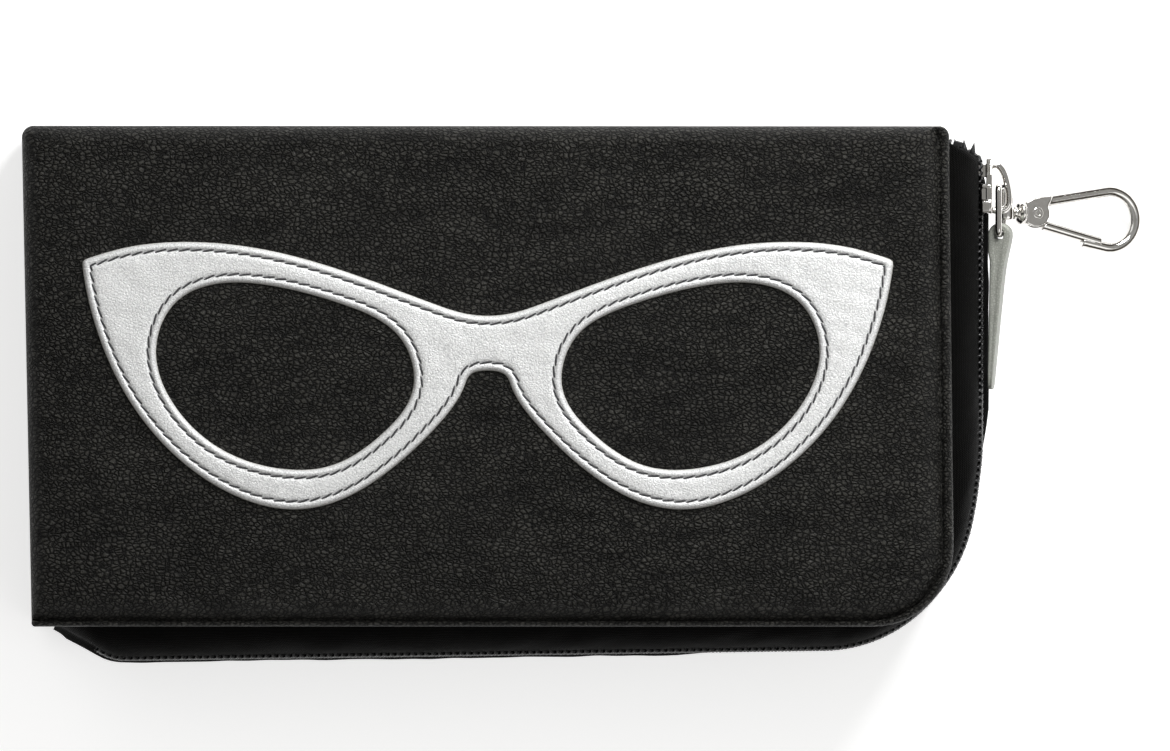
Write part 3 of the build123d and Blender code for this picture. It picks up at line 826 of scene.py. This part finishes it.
def patch():
    """The silver patch: rings of points along its outlines, a grid between, and a cut edge."""
    outlines = [softened(resample(loop, 0.2 * MM), 0.4 * MM) for loop in top_loops("glasses_patch")]
    points = list(np.vstack(outlines))
    limits = []
    for loop in outlines:
        first = len(limits)
        limits += [(first + k, first + (k + 1) % len(loop)) for k in range(len(loop))]

    def from_edge(places):
        return np.min([distance_to(places, loop) for loop in outlines], axis=0)

    for inset in (0.12, 0.3, 0.55, 0.95, 1.32, 1.53, 1.75, 1.97, 2.2, 2.7):
        for loop in outlines:
            ring = loop + normals_2d(loop) * inset * MM
            points += list(ring[from_edge(ring) > 0.985 * inset * MM])
    low, high = outlines[0].min(0), outlines[0].max(0)
    step = 1.0 * MM
    xs, ys = np.meshgrid(np.arange(low[0], high[0], step), np.arange(low[1], high[1], step * 0.87))
    xs = xs + (np.arange(len(ys)) % 2)[:, None] * step / 2
    spread = np.column_stack([xs.ravel(), ys.ravel()])
    spread = spread[inside_loops(spread, outlines)]
    points += list(spread[from_edge(spread) > 3.2 * MM])

    scale = 1000.0                       # the triangulation works in millimetres
    result = delaunay_2d_cdt([Vector(p) * scale for p in points], limits, [], 0, 1e-6)
    flat = np.array([v[:] for v in result[0]]) / scale
    triangles = [f for f in result[2] if len(f) == 3]
    kept = inside_loops(flat[np.array(triangles)].mean(1), outlines)
    triangles = [f for f, keep in zip(triangles, kept) if keep]
    edge = from_edge(flat)
    ground = front_face(flat[:, 0], flat[:, 1])
    top = np.column_stack([flat, ground + patch_rise(edge, flat[:, 0], flat[:, 1])])
    border = border_of(triangles)
    rim = list(dict.fromkeys(v for side in border for v in side))
    foot = {v: len(top) + k for k, v in enumerate(rim)}
    vertices = np.vstack([top, np.column_stack([flat[rim], ground[rim] - 0.5 * MM])])
    faces = triangles + [(b, a, foot[a], foot[b]) for a, b in border]
    piece = settle(make_object("silver_patch", vertices, faces, SILVER), "front_cover", "silver_leather",
                   "glasses_patch")
    # The seam values paint shade into the stitch groove; cut_edge marks the pale cut edge.
    line = 0.55 * np.exp(-((edge - STITCH_INSET) / (0.2 * MM)) ** 2)
    cut = np.clip(1 - edge / (0.22 * MM), 0, 1)
    for name, values, at_foot in (("seam", line, 0.0), ("cut_edge", cut, 1.0)):
        attribute = piece.data.attributes.new(name, "FLOAT", "POINT")
        attribute.data.foreach_set("value", np.append(values, np.full(len(rim), at_foot)))
    return outlines


def stitches(name, node, outline, seed):
    """One thread piece: slanted stitches that dip into the leather at their ends."""
    seam = outline + normals_2d(outline) * STITCH_INSET
    seam = resample(seam[distance_to(seam, outline) > 0.985 * STITCH_INSET], SEAM_STEP)
    count = int(round(len(seam) * SEAM_STEP / STITCH_PITCH))
    normal = normals_2d(seam)
    dice = np.random.RandomState(seed)
    share = np.linspace(-0.02, 1.02, 11)
    sweep = (share - 0.5) * 2
    rise = 0.17 * MM * np.sqrt(np.clip(1 - np.abs(sweep) ** 3.0, 0, 1)) - 0.12 * MM
    threads = []
    for k in range(count):
        index = (k * len(seam) / count + share * len(seam) / count).astype(int) % len(seam)
        bend = 0.36 * MM * dice.uniform(0.8, 1.2) * (sweep * 0.75 + 0.25 * sweep ** 3)
        place = seam[index] + normal[index] * bend[:, None]
        ground = front_face(place[:, 0], place[:, 1]) + PATCH_THICK - 0.34 * MM
        threads.append(tube(np.column_stack([place, ground + rise]), (THREAD, THREAD * 0.9), 7))
    settle(make_object(name, *merged(threads), THREAD_GREY), "front_cover", "grey_thread", node)


def patch_and_stitches():
    outer, *lenses = patch()
    stitches("patch_edge_stitches", "patch_outer_thread", outer, 1)
    for lens in lenses:
        side, seed = ("left", 2) if lens[:, 0].mean() < 0 else ("right", 3)
        stitches(side + "_lens_stitches", "patch_" + side + "_lens_thread", lens, seed)


# ================================================================ the zip

def zip_routes():
    """The routes of the chain and of the tape's edge at the covers. The chain sags inward on
    its way into the lower right corner."""
    chain = rounded_route(CHAIN_ROUTE, CHAIN_BENDS, ROUTE_COUNTS) * MM
    sag = np.clip((-11 * MM - chain[:, 1]) / (17 * MM), 0, 1)
    chain[:, 0] -= 1.5 * MM * sag ** 2 * (3 - 2 * sag) * np.clip((chain[:, 0] - 70 * MM) / (25 * MM), 0, 1)
    right, bottom = RIGHT / MM, BOTTOM / MM
    cover = [(93.0, 56.2), (right - 2.2, 56.2), (right - 1.0, bottom + 1.0), (-88.0, bottom + 1.0),
             (-97.4, bottom + 1.6)]
    return chain, rounded_route(cover, COVER_BENDS, ROUTE_COUNTS) * MM


def tape(name, node, body, flip):
    """One half of the zip tape, bowed out from the cover's edge to the chain. The back half
    swells near the ends of the zip."""
    chain, cover = zip_routes()
    along = distance_along(chain)
    out = outward(chain)
    low = MIDDLE + 2.2 * MM
    high = SIDE_END + 0.3 * MM
    knee = high - 2.6 * MM
    ends = np.clip((along - 4 * MM) / (12 * MM), 0, 1) * np.clip((along[-1] - along) / (3 * MM), 0.8, 1)
    closing = np.clip(1 - (along[-1] - along) / (9 * MM), 0, 1)
    reach = np.interp(along / MM, [62, 80, 138, 165], [2.75, 0.1, 0.1, 1.9]) * MM
    levels = np.linspace(0, 1, 21)
    rings = []
    for t in levels:
        height = high * (1 - t) ** 2 + 2 * t * (1 - t) * knee + low * t ** 2
        ripple = 0.16 * MM * waves(along, along * 0 + t * 9 * MM, 41, 30 * MM, 7 * MM) * sin(pi * t) ** 0.5
        flat = cover * (1 - t) ** 2 + chain * (1 - (1 - t) ** 2) + out * ripple[:, None]
        if flip:
            swell = reach * np.exp(-((height - 28.6 * MM) / (2.3 * MM)) ** 2)
            flat = flat + out * (swell * ends)[:, None]
        rings.append(np.column_stack([flat, height + ripple - 2.2 * MM * closing * t ** 2]))
    outer = np.vstack(rings)
    inner = outer.copy()
    thick = 0.6 * MM
    slope = np.repeat(levels, len(chain))[:, None]
    inner[:, :2] -= np.tile(out, (len(levels), 1)) * thick * (0.35 + 0.65 * slope)
    inner[:, 2] -= thick * 0.8 * (1 - slope[:, 0])
    vertices = np.vstack([outer, inner])
    faces = slab_faces(len(levels), len(chain))
    if flip:
        vertices[:, 2] = 2 * MIDDLE - vertices[:, 2]
        faces = flipped(faces)
    piece = settle(make_object(name, vertices, faces, TAPE), body, "zip_tape", node)


def coil(name, node, body, flip):
    """One row of the coil: a flattened helix along the chain, its loops between the other row's.
    At the free end the teeth splay out of the chain."""
    chain, _ = zip_routes()
    fine = resample(chain, COIL_STEP, False)[:-int(9 * MM / COIL_STEP)]
    out = outward(fine)
    count = int((len(fine) - 1) * COIL_STEP / PITCH)
    places = np.linspace(0, count * PITCH, count * 15 + 1)
    index = np.clip((places / COIL_STEP).astype(int), 0, len(fine) - 1)
    phase = 2 * pi * places / PITCH + (pi if flip else 0)
    free = np.clip(1 - places / (7.5 * MM), 0, 1) ** 0.5
    saw = 1 - 2 * np.abs((phase / pi) % 2 - 1)
    splay = 0.1 + 0.3 * saw if flip else 0.5 + 1.5 * saw
    side = (np.cos(phase) * 0.72 * (1 - free) + free * splay) * MM
    height = MIDDLE + 1.15 * MM + np.sin(phase) * (1.05 * MM - 0.55 * MM * free)
    lean = 0.3 * MM * np.sin(phase)
    ahead = np.stack([out[index, 1], -out[index, 0]], axis=1)
    flat = fine[index] + out[index] * side[:, None] + ahead * lean[:, None]
    path = np.column_stack([flat, 2 * MIDDLE - height if flip else height])
    parts = [tube(path, (0.33 * MM, 0.33 * MM), 6)] + ([] if flip else free_teeth())
    settle(make_object(name, *merged(parts), NYLON), body, "zip_coil", node)


def free_teeth():
    """The last loops of the front row, free of the other row, standing up as points."""
    teeth = []
    for x, y, lean in ((98.5, 53.0, -0.2), (100.2, 52.8, -0.05), (101.8, 52.2, 0.25)):
        points = []
        for share in (0.0, 0.35, 0.7, 1.0):
            radius = 0.8 * (1 - share) + 0.06
            points += [((x + lean * share * 2.2 + radius * cos(turn)) * MM, (y + 2.7 * share) * MM,
                        MIDDLE + (1.7 + 0.7 * radius * sin(turn)) * MM) for turn in turns(8)]
        teeth.append((points, flipped(rod_faces(4, 8))))
    return teeth


def zip_parts():
    tape("front_zip_tape", "zip_tape_front", "front_cover", False)
    tape("back_zip_tape", "zip_tape_back", "root", True)
    coil("front_zip_coil", "zip_coil_front", "front_cover", False)
    coil("back_zip_coil", "zip_coil_back", "root", True)
    for node in ("zip_top_stop_front", "zip_top_stop_back", "zip_bottom_stop"):
        finish_node(node, NYLON, 0.15 * MM)


def finish_node(node, material, bevel=0.0):
    """Gives a CAD node its material and softens its edges."""
    piece = bpy.data.objects[node]
    piece.data.materials.clear()
    piece.data.materials.append(material)
    for slot in piece.material_slots:
        slot.material = material
    if bevel > 0:
        modifier = piece.modifiers.new("soft_edges", "BEVEL")
        modifier.width = bevel
        modifier.segments = 3
        modifier.limit_method = "ANGLE"
        modifier.angle_limit = radians(38)
        modifier.use_clamp_overlap = True


# ================================================================ the inside

def panel(name, corners, radii, low, high, rounding, material, puff, seed):
    """A soft board or cloth: two faces that meet in a rounded rim."""
    across = edge_steps(corners[1][0] - corners[0][0], 0.45 * MM, 9, 3.0 * MM)
    up = edge_steps(corners[3][1] - corners[0][1], 0.45 * MM, 9, 3.0 * MM)
    flat = filled(four_sides(corners, radii, across, up), across, up).reshape(-1, 2)
    rim = rim_indices(len(up), len(across))
    edge = distance_to(flat, flat[rim])
    edge[rim] = 0
    inside = np.clip(edge / rounding, 0, 1)
    half = (high - low) / 2 * np.sqrt(np.clip(1 - (1 - inside) ** 2, 0, 1))
    half = half + 0.4 * puff * np.clip(edge / (12 * MM), 0, 1)
    ripple = waves(flat[:, 0], flat[:, 1], seed, 70 * MM, 16 * MM) * puff * np.clip(edge / (6 * MM), 0, 1)
    middle = (low + high) / 2 + 0.5 * ripple
    inner = np.setdiff1d(np.arange(len(flat)), rim)
    points = np.vstack([np.column_stack([flat, middle + half]),
                        np.column_stack([flat, middle - half])[inner]])
    under = np.arange(len(flat))
    under[inner] = len(flat) + np.arange(len(inner))
    faces = grid_faces(len(up), len(across))
    faces += [tuple(under[list(f)]) for f in flipped(faces)]
    return make_object(name, points, faces, material)


def foam():
    for body, cover, low, high in (("front_cover", "front", SIDE_END + 1.6 * MM, FRONT - 4.6 * MM),
                                   ("root", "back", 1.8 * MM, SIDE_LOW - 1.6 * MM)):
        piece = panel(cover + "_foam", case_corners(6.0 * MM), [2 * MM, 12 * MM, 2 * MM, 2 * MM],
                      low, high, 1.8 * MM, FOAM, 0.0, 7)
        settle(piece, body, "foam", cover + "_padding")
        finish_node(cover + "_board", BOARD)


def linings():
    for body, cover, seed in (("front_cover", "front", 51), ("root", "back", 52)):
        node = cover + "_lining"
        low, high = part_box(node)
        inset = low[0] - LEFT
        piece = panel(node + "_cloth", case_corners(inset), [2 * MM, ZIP_CORNER - inset, 2 * MM, 2 * MM],
                      low[2], high[2], 0.35 * MM, LINING, 0.15 * MM, seed)
        settle(piece, body, "lining", node)


def dividers():
    """Two padded dividers, each with a bound edge and a row of stitches on either face."""
    for node, seed in (("rear_divider", 61), ("front_divider", 62)):
        low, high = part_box(node)
        edge_low, edge_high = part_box(node + "_binding")
        trim = edge_high[0] - high[0]
        left = low[0] + LEFT_LEAN
        corners = [(left, low[1]), (high[0], low[1]), (high[0], high[1]), (low[0], high[1])]
        piece = panel(node + "_pad", corners, [1 * MM, 11.5 * MM, 1 * MM, 1 * MM], low[2], high[2],
                      0.7 * MM, LINING, 0.35 * MM, seed)
        settle(piece, "root", "lining", node)

        right, bottom = edge_high[0] - trim / 2, edge_low[1] + trim / 2
        route = rounded_route([(right, edge_high[1] - 1 * MM), (right, bottom), (left, bottom)],
                              [12.7 * MM], [40, 24, 90])
        edge = ribbon(route, -trim / 2 - 0.25 * MM, (high[2] - low[2]) / 2 + 0.3 * MM,
                      squircle(16, 0.6, 0.6), (low[2] + high[2]) / 2)
        settle(make_object(node + "_edge", *edge, SMOOTH_LEATHER), "root", "black_leather",
               node + "_binding")

        right, bottom = high[0] - 0.9 * MM, low[1] + 0.9 * MM
        seam = rounded_route([(right, edge_high[1] - 3 * MM), (right, bottom), (low[0] + 4 * MM, bottom)],
                             [10.6 * MM], [40, 24, 90])
        for side, level, sign in (("upper", high[2], 1), ("lower", low[2], -1)):
            row = stitch_row(node + "_" + side + "_stitches", seam, level + sign * 0.02 * MM, sign)
            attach(row, "root")


def stitch_row(name, route, level, sign):
    """Straight stitches along a route on a flat face; sign is the way that the face looks."""
    fine = resample(route, SEAM_STEP, False)
    count = int(len(fine) * SEAM_STEP / (3.0 * MM))
    share = np.linspace(0.06, 0.94, 7)
    rise = 0.13 * MM * np.sqrt(np.clip(1 - np.abs(share * 2 - 1) ** 4, 0, 1)) - 0.04 * MM
    threads = []
    for k in range(count):
        index = ((k + share) * len(fine) / count).astype(int).clip(0, len(fine) - 1)
        path = np.column_stack([fine[index], level + sign * rise])
        threads.append(tube(path, (THREAD * 0.8, THREAD * 0.8), 6))
    return make_object(name, *merged(threads), THREAD_BLACK)


# ================================================================ slider, ring, tab and clasp

def turned(points, matrix):
    """Points in millimetres in a part's own frame, moved to where the part is, in metres."""
    points = np.asarray(points, float)
    return points @ matrix[:3, :3].T * MM + matrix[:3, 3]


def frame_at(origin, angle_y, angle_z=0.0, inner=(0, 0, 0)):
    """A frame at the origin (metres), turned about Y, then shifted by inner and turned about its Z."""
    cy, sy, cz, sz = cos(angle_y), sin(angle_y), cos(angle_z), sin(angle_z)
    about_y = np.array([[cy, 0, sy], [0, 1, 0], [-sy, 0, cy]])
    about_z = np.array([[cz, -sz, 0], [sz, cz, 0], [0, 0, 1]])
    matrix = np.eye(4)
    matrix[:3, :3] = about_y @ about_z
    matrix[:3, 3] = np.asarray(origin, float) + about_y @ np.asarray(inner, float)
    return matrix


def joint_place(name):
    joint = next(j for j in frame["record"]["behaviour"]["joints"] if j["name"] == name)
    return [float(v) for v in joint["pos_m"]]


def fused(name, parts, voxel, smoothing, matrix, material, shape=None):
    """A casting: parts in millimetres, melted into one smooth skin."""
    rough = make_object(name + "_rough", *merged(parts), material)
    remesh = rough.modifiers.new("remesh", "REMESH")
    remesh.mode = "VOXEL"
    remesh.voxel_size = voxel
    smooth = rough.modifiers.new("smooth", "SMOOTH")
    smooth.factor = 0.5
    smooth.iterations = smoothing
    ready = rough.evaluated_get(bpy.context.evaluated_depsgraph_get())
    mesh = bpy.data.meshes.new_from_object(ready)
    bpy.data.objects.remove(rough)
    places = np.empty(len(mesh.vertices) * 3)
    mesh.vertices.foreach_get("co", places)
    places = places.reshape(-1, 3)
    if shape is not None:
        places = shape(places)
    mesh.vertices.foreach_set("co", turned(places, matrix).ravel())
    mesh.name = name
    return linked(name, mesh, material)


def plate(outline, low, high):
    """A flat part from its outline, anticlockwise."""
    count = len(outline)
    points = [(x, y, low) for x, y in outline] + [(x, y, high) for x, y in outline]
    faces = [tuple(reversed(range(count))), tuple(range(count, 2 * count))]
    faces += [(k, (k + 1) % count, (k + 1) % count + count, k + count) for k in range(count)]
    return points, faces


def disc(centre, radius, low, high):
    return plate([(centre[0] + radius * cos(turn), centre[1] + radius * sin(turn)) for turn in turns(48)],
                 low, high)


def spun(profile):
    """A part turned about its own X axis from (x, radius) pairs."""
    round_it = turns(40)
    points = [(x, radius * cos(turn), radius * sin(turn)) for x, radius in profile for turn in round_it]
    return points, flipped(rod_faces(len(profile), len(round_it)))


def hoop(centre, radius, half_thick, half_wide):
    """A wide ring about an axis along Y, with a rounded section."""
    across, up = squircle(18, 0.7, 0.6)
    round_it = turns(56)
    points = [(centre[0] + reach * cos(turn), wide, centre[1] + reach * sin(turn)) for turn in round_it
              for reach, wide in zip(radius + half_thick * across, half_wide * up)]
    return points, rod_faces(len(round_it), len(across), True)


BOW_CENTRE = np.array([26.1, -1.4])
BOW = 6.2
RIVET = np.array([7.9, 0.0])
STEP = np.array([21.3, -6.2])
STEP_LEAN = radians(-13.0)


def hook_path():
    """From the head round the bow to the nose."""
    start = np.array([7.6, 2.15])
    nose = np.array([19.2, -6.25])

    def touch(point, side):
        away = BOW_CENTRE - point
        reach = np.linalg.norm(away)
        angle = atan2(away[1], away[0]) + side * asin(BOW / reach)
        length = (reach ** 2 - BOW ** 2) ** 0.5
        return point + length * np.array([cos(angle), sin(angle)])

    up, down = touch(start, 1), touch(nose, -1)
    first = atan2(*(up - BOW_CENTRE)[::-1])
    last = atan2(*(down - BOW_CENTRE)[::-1])
    while last > first:
        last -= 2 * pi
    points = [start + (up - start) * t for t in np.linspace(0, 1, 24, False)]
    points += [BOW_CENTRE + BOW * np.array([cos(a), sin(a)]) for a in np.linspace(first, last, 60)]
    points += [down + (nose - down) * t for t in np.linspace(0, 1, 12)[1:]]
    return np.column_stack([np.array(points), np.zeros(len(points))])


def cut_step(points, upper):
    """Cuts the stepped joint: the nose loses its upper half there, the gate its lower half."""
    c, s = cos(STEP_LEAN), sin(STEP_LEAN)
    away = points[:, :2] - STEP
    u = away[:, 0] * c + away[:, 1] * s
    v = -away[:, 0] * s + away[:, 1] * c
    shift, depth = (-0.2, -0.14) if upper else (0.2, 0.0)
    inside_u = 2.4 - np.abs(u - shift)
    inside_v = v - depth if upper else depth - v
    cut = (inside_u > 0) & (inside_v > 0) & (np.abs(v) < 3)
    by_v = cut & (inside_v <= inside_u)
    by_u = cut & ~by_v
    v = np.where(by_v, depth, v)
    u = np.where(by_u, shift + np.sign(u - shift) * 2.4, u)
    points = points.copy()
    points[:, 0] = STEP[0] + u * c - v * s
    points[:, 1] = STEP[1] + u * s + v * c
    return points


def push_out(points, centre, radius):
    away = points[:, :2] - centre
    gap = np.linalg.norm(away, axis=1)
    near = gap < radius
    points = points.copy()
    points[near, :2] = centre + away[near] / gap[near, None] * radius
    return points


def clasp():
    at = frame_at(joint_place("clasp_swing"), radians(25.0))
    head = [(5.2, -2.35), (6.6, -2.9), (8.2, -2.95), (9.8, -2.3), (10.75, -0.9), (10.8, 0.4), (10.4, 1.4),
            (11.4, 3.7), (8.4, 3.45), (6.6, 3.05), (5.2, 2.35)]
    hook = fused("hook", [tube(hook_path(), (1.27, 1.27), 20), plate(head, -1.42, 1.42)], 0.13, 7, at,
                 NICKEL, lambda points: cut_step(points, True))
    settle(hook, "hook", "nickel", "hook_body")

    start, end = np.array([9.6, -2.62]), np.array([23.55, -6.34])
    bar = [np.append(start + (end - start) * t, 0.0) for t in np.linspace(0, 1, 20)]
    gate = fused("gate_bar", [tube(bar, (1.16, 1.16), 20), disc(RIVET, 1.5, -0.6, 0.2)], 0.11, 4, at,
                 NICKEL, lambda points: push_out(cut_step(points, False), RIVET, 3.3))
    settle(gate, "gate_arm", "nickel", "gate")

    dish = [(-0.12, 0.02), (-0.12, 0.26), (-0.1, 0.34), (0.06, 0.56), (0.12, 0.62), (0.14, 0.7),
            (0.14, 1.05), (0.11, 1.18), (0.0, 1.3), (-0.06, 1.34)]
    points, faces = spun([(1.38 + rise, radius) for rise, radius in dish])
    faces = faces[:-1]                   # a head is open where it meets the hook
    points, faces = merged(([(RIVET[0] + y, RIVET[1] + z, side * x) for x, y, z in points],
                            faces if side > 0 else flipped(faces)) for side in (1, -1))
    settle(make_object("rivet_heads", turned(points, at), faces, NICKEL), "hook", "nickel", "gate_rivet")
    finish_node("gate_spring", STEEL, 0.05 * MM)

    neck = spun([(2.0, 1.25), (3.1, 1.3), (3.5, 2.1), (4.0, 2.6), (4.55, 2.62), (4.6, 2.3), (4.75, 2.3),
                 (4.8, 2.5), (5.0, 2.45)])
    eye = fused("swivel", [neck, hoop((0.65, 0.0), 1.68, 0.42, 1.55)], 0.11, 3, at, NICKEL)
    settle(eye, "eye", "nickel", "swivel_eye")


def tab():
    """A strap folded round the ring, its two ends together."""
    at = frame_at(joint_place("ring_swing"), RING_TILT, TAB_LEAN, (0, -RING_LENGTH, 0))

    def side_place(drop, side):
        """The middle line and thickness of one half of the strap, at a drop below the ring."""
        share = np.clip(drop / TAB_LENGTH, 0, 1)
        thick = 1.62 * (1 - share) + 0.45 * share
        if side < 0:
            swell = 0.38 + 0.48 / (1 + np.exp((drop - 5.0) / 0.45))
        else:
            swell = 0.86 * np.exp(-(drop / 5.5) ** 2)
        return side * (thick / 2 + 0.006 + swell * (1 - share)), thick

    def half_width(widest, from_end):
        """The strap's corners are round over the last 3 mm."""
        return widest - 1.4 * (1 - np.sqrt(1 - (1 - np.clip(from_end / 3.0, 0, 1)) ** 2))

    drops = np.linspace(0, 1, 70) ** 1.3 * TAB_LENGTH
    (left, left_thick), (right, right_thick) = side_place(drops, -1), side_place(drops, 1)
    bend = np.linspace(pi, 0, 26)
    centres = np.vstack([np.column_stack([left, -drops])[:0:-1],
                         abs(left[0]) * np.column_stack([np.cos(bend), np.sin(bend)]),
                         np.column_stack([right, -drops])[1:]])
    thick = np.concatenate([left_thick[:0:-1], np.full(len(bend), 1.55), right_thick[1:]])
    from_end = TAB_LENGTH + np.minimum(centres[:, 1], 0)
    strap = ribbon(centres, thick / 2 * (1 - 0.25 * np.exp(-from_end / 0.35)), half_width(4.0, from_end),
                   squircle(24, 0.42, 0.18))
    core = []
    core_drops = np.linspace(0.95, 33.7, 40)
    for drop in core_drops:
        x0, x1 = side_place(drop, -1)[0], side_place(drop, 1)[0]
        deep = half_width(3.9, TAB_LENGTH - drop)
        core += [(x0, -drop, -deep), (x1, -drop, -deep), (x1, -drop, deep), (x0, -drop, deep)]
    piece = fused("pull_strap", [strap, (core, rod_faces(len(core_drops), 4))], 0.14, 5, at, TAB)
    settle(piece, "tab", "tab_leather", "pull_tab")


def block(low, high):
    x0, y0, z0 = low
    x1, y1, z1 = high
    return plate([(x0, y0), (x1, y0), (x1, y1), (x0, y1)], z0, z1)


def pillow(low, high, level, deep):
    """A low cushion on a rectangle, rounded along Y and at its ends."""
    count = 15
    points = []
    for x, u in zip(np.linspace(low[0], high[0], count), np.linspace(-1, 1, count)):
        for y, v in zip(np.linspace(low[1], high[1], count), np.linspace(-1, 1, count)):
            points.append((x, y, level + deep * (1 - abs(u) ** 5) ** 0.5 * (1 - abs(v) ** 3) ** 0.5))
    points += [(x, y, level - deep * 0.6) for x, y, _ in points]
    return points, slab_faces(count, count)


def slider():
    """Two plates on a post, with rounded lips over the coil, a bridge and the ring."""
    low, high = (np.array(corner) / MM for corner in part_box("slider_body"))
    middle, chain = MIDDLE / MM, CHAIN_X / MM
    thick = 1.2
    inner_face, outer_face = low[0] + thick, high[0] - thick
    post_top = high[1] - 1.2
    outline = [(low[1], low[2] + 1.0), (low[1] + 1.0, low[2]), (high[1] - 3.4, low[2]),
               (high[1], middle - 2.2), (high[1], middle + 2.2), (high[1] - 3.4, high[2]),
               (low[1] + 1.0, high[2]), (low[1], high[2] - 1.0)]
    parts = []
    for start in (low[0], outer_face):
        points, faces = plate(outline, start, start + thick)
        parts.append(([(z, x, y) for x, y, z in points], faces))
    parts.append(block((inner_face - 0.3, post_top - 2.8, middle - 0.3),
                       (outer_face + 0.3, post_top, middle + 0.3)))
    lip_end = low[1] + 6.4
    for side, level in ((1, high[2] - 0.25), (-1, low[2] + 0.25)):
        for start, end, deep in ((low[1], low[1] + 3.2, 0.85), (lip_end - 0.9, lip_end, 0.6),
                                 (low[1] + 1.0, lip_end - 0.5, 0.25)):
            parts.append(pillow((chain + 0.35, start), (high[0] + 0.1, end), level - side * 0.2, side * deep))
    for z0, z1 in ((low[2] - 0.1, low[2] + 0.55), (high[2] - 0.75, high[2] + 0.05)):
        parts.append(block((inner_face - 0.5, low[1], z0), (chain - 0.75, lip_end, z1)))
    at = np.eye(4)
    settle(fused("slider_casting", parts, 0.12, 3, at, NICKEL), "slider", "nickel", "slider_body")

    foot = high[0] - 0.35
    arch = smooth_line([(foot, post_top - 0.3), (foot + 1.7, post_top - 0.2), (foot + 3.0, post_top - 1.8),
                        (foot + 3.8, post_top - 4.6), (foot + 4.15, low[1] + 3.6), (foot + 3.9, low[1] + 1.7),
                        (foot + 2.7, low[1] + 0.8), (foot, low[1] + 0.8)], 90)
    order = np.arange(len(arch))
    wide = 1.5 + 0.5 * np.exp(-(np.minimum(order, order[::-1]) / 8.0) ** 2)
    points, faces = ribbon(arch, 0.85, wide, squircle(20, 0.9, 0.9), middle)
    settle(make_object("slider_arch", turned(points, at), faces, NICKEL), "slider", "nickel",
           "slider_bridge")
    finish_node("pull_ring", NICKEL)
    ring = bpy.data.objects["pull_ring"]
    stout = ring.modifiers.new("stout", "DISPLACE")
    stout.strength = 0.22 * MM
    stout.mid_level = 0.0
    for polygon in ring.data.polygons:
        polygon.use_smooth = True


def smooth_line(key, count):
    """A smooth curve through the points given."""
    key = np.asarray(key, float)
    padded = np.vstack([2 * key[0] - key[1], key, 2 * key[-1] - key[-2]])
    result = []
    for t in np.linspace(0, len(key) - 1.000001, count):
        k = int(t)
        a, b, c, d = padded[k:k + 4]
        u = t - k
        result.append(0.5 * (2 * b + (c - a) * u + (2 * a - 5 * b + 4 * c - d) * u ** 2
                             + (3 * b - a - 3 * c + d) * u ** 3))
    return np.array(result)


covers()
patch_and_stitches()
fold_and_gusset()
zip_parts()
foam()
linings()
dividers()
clasp()
tab()
slider()
studio()
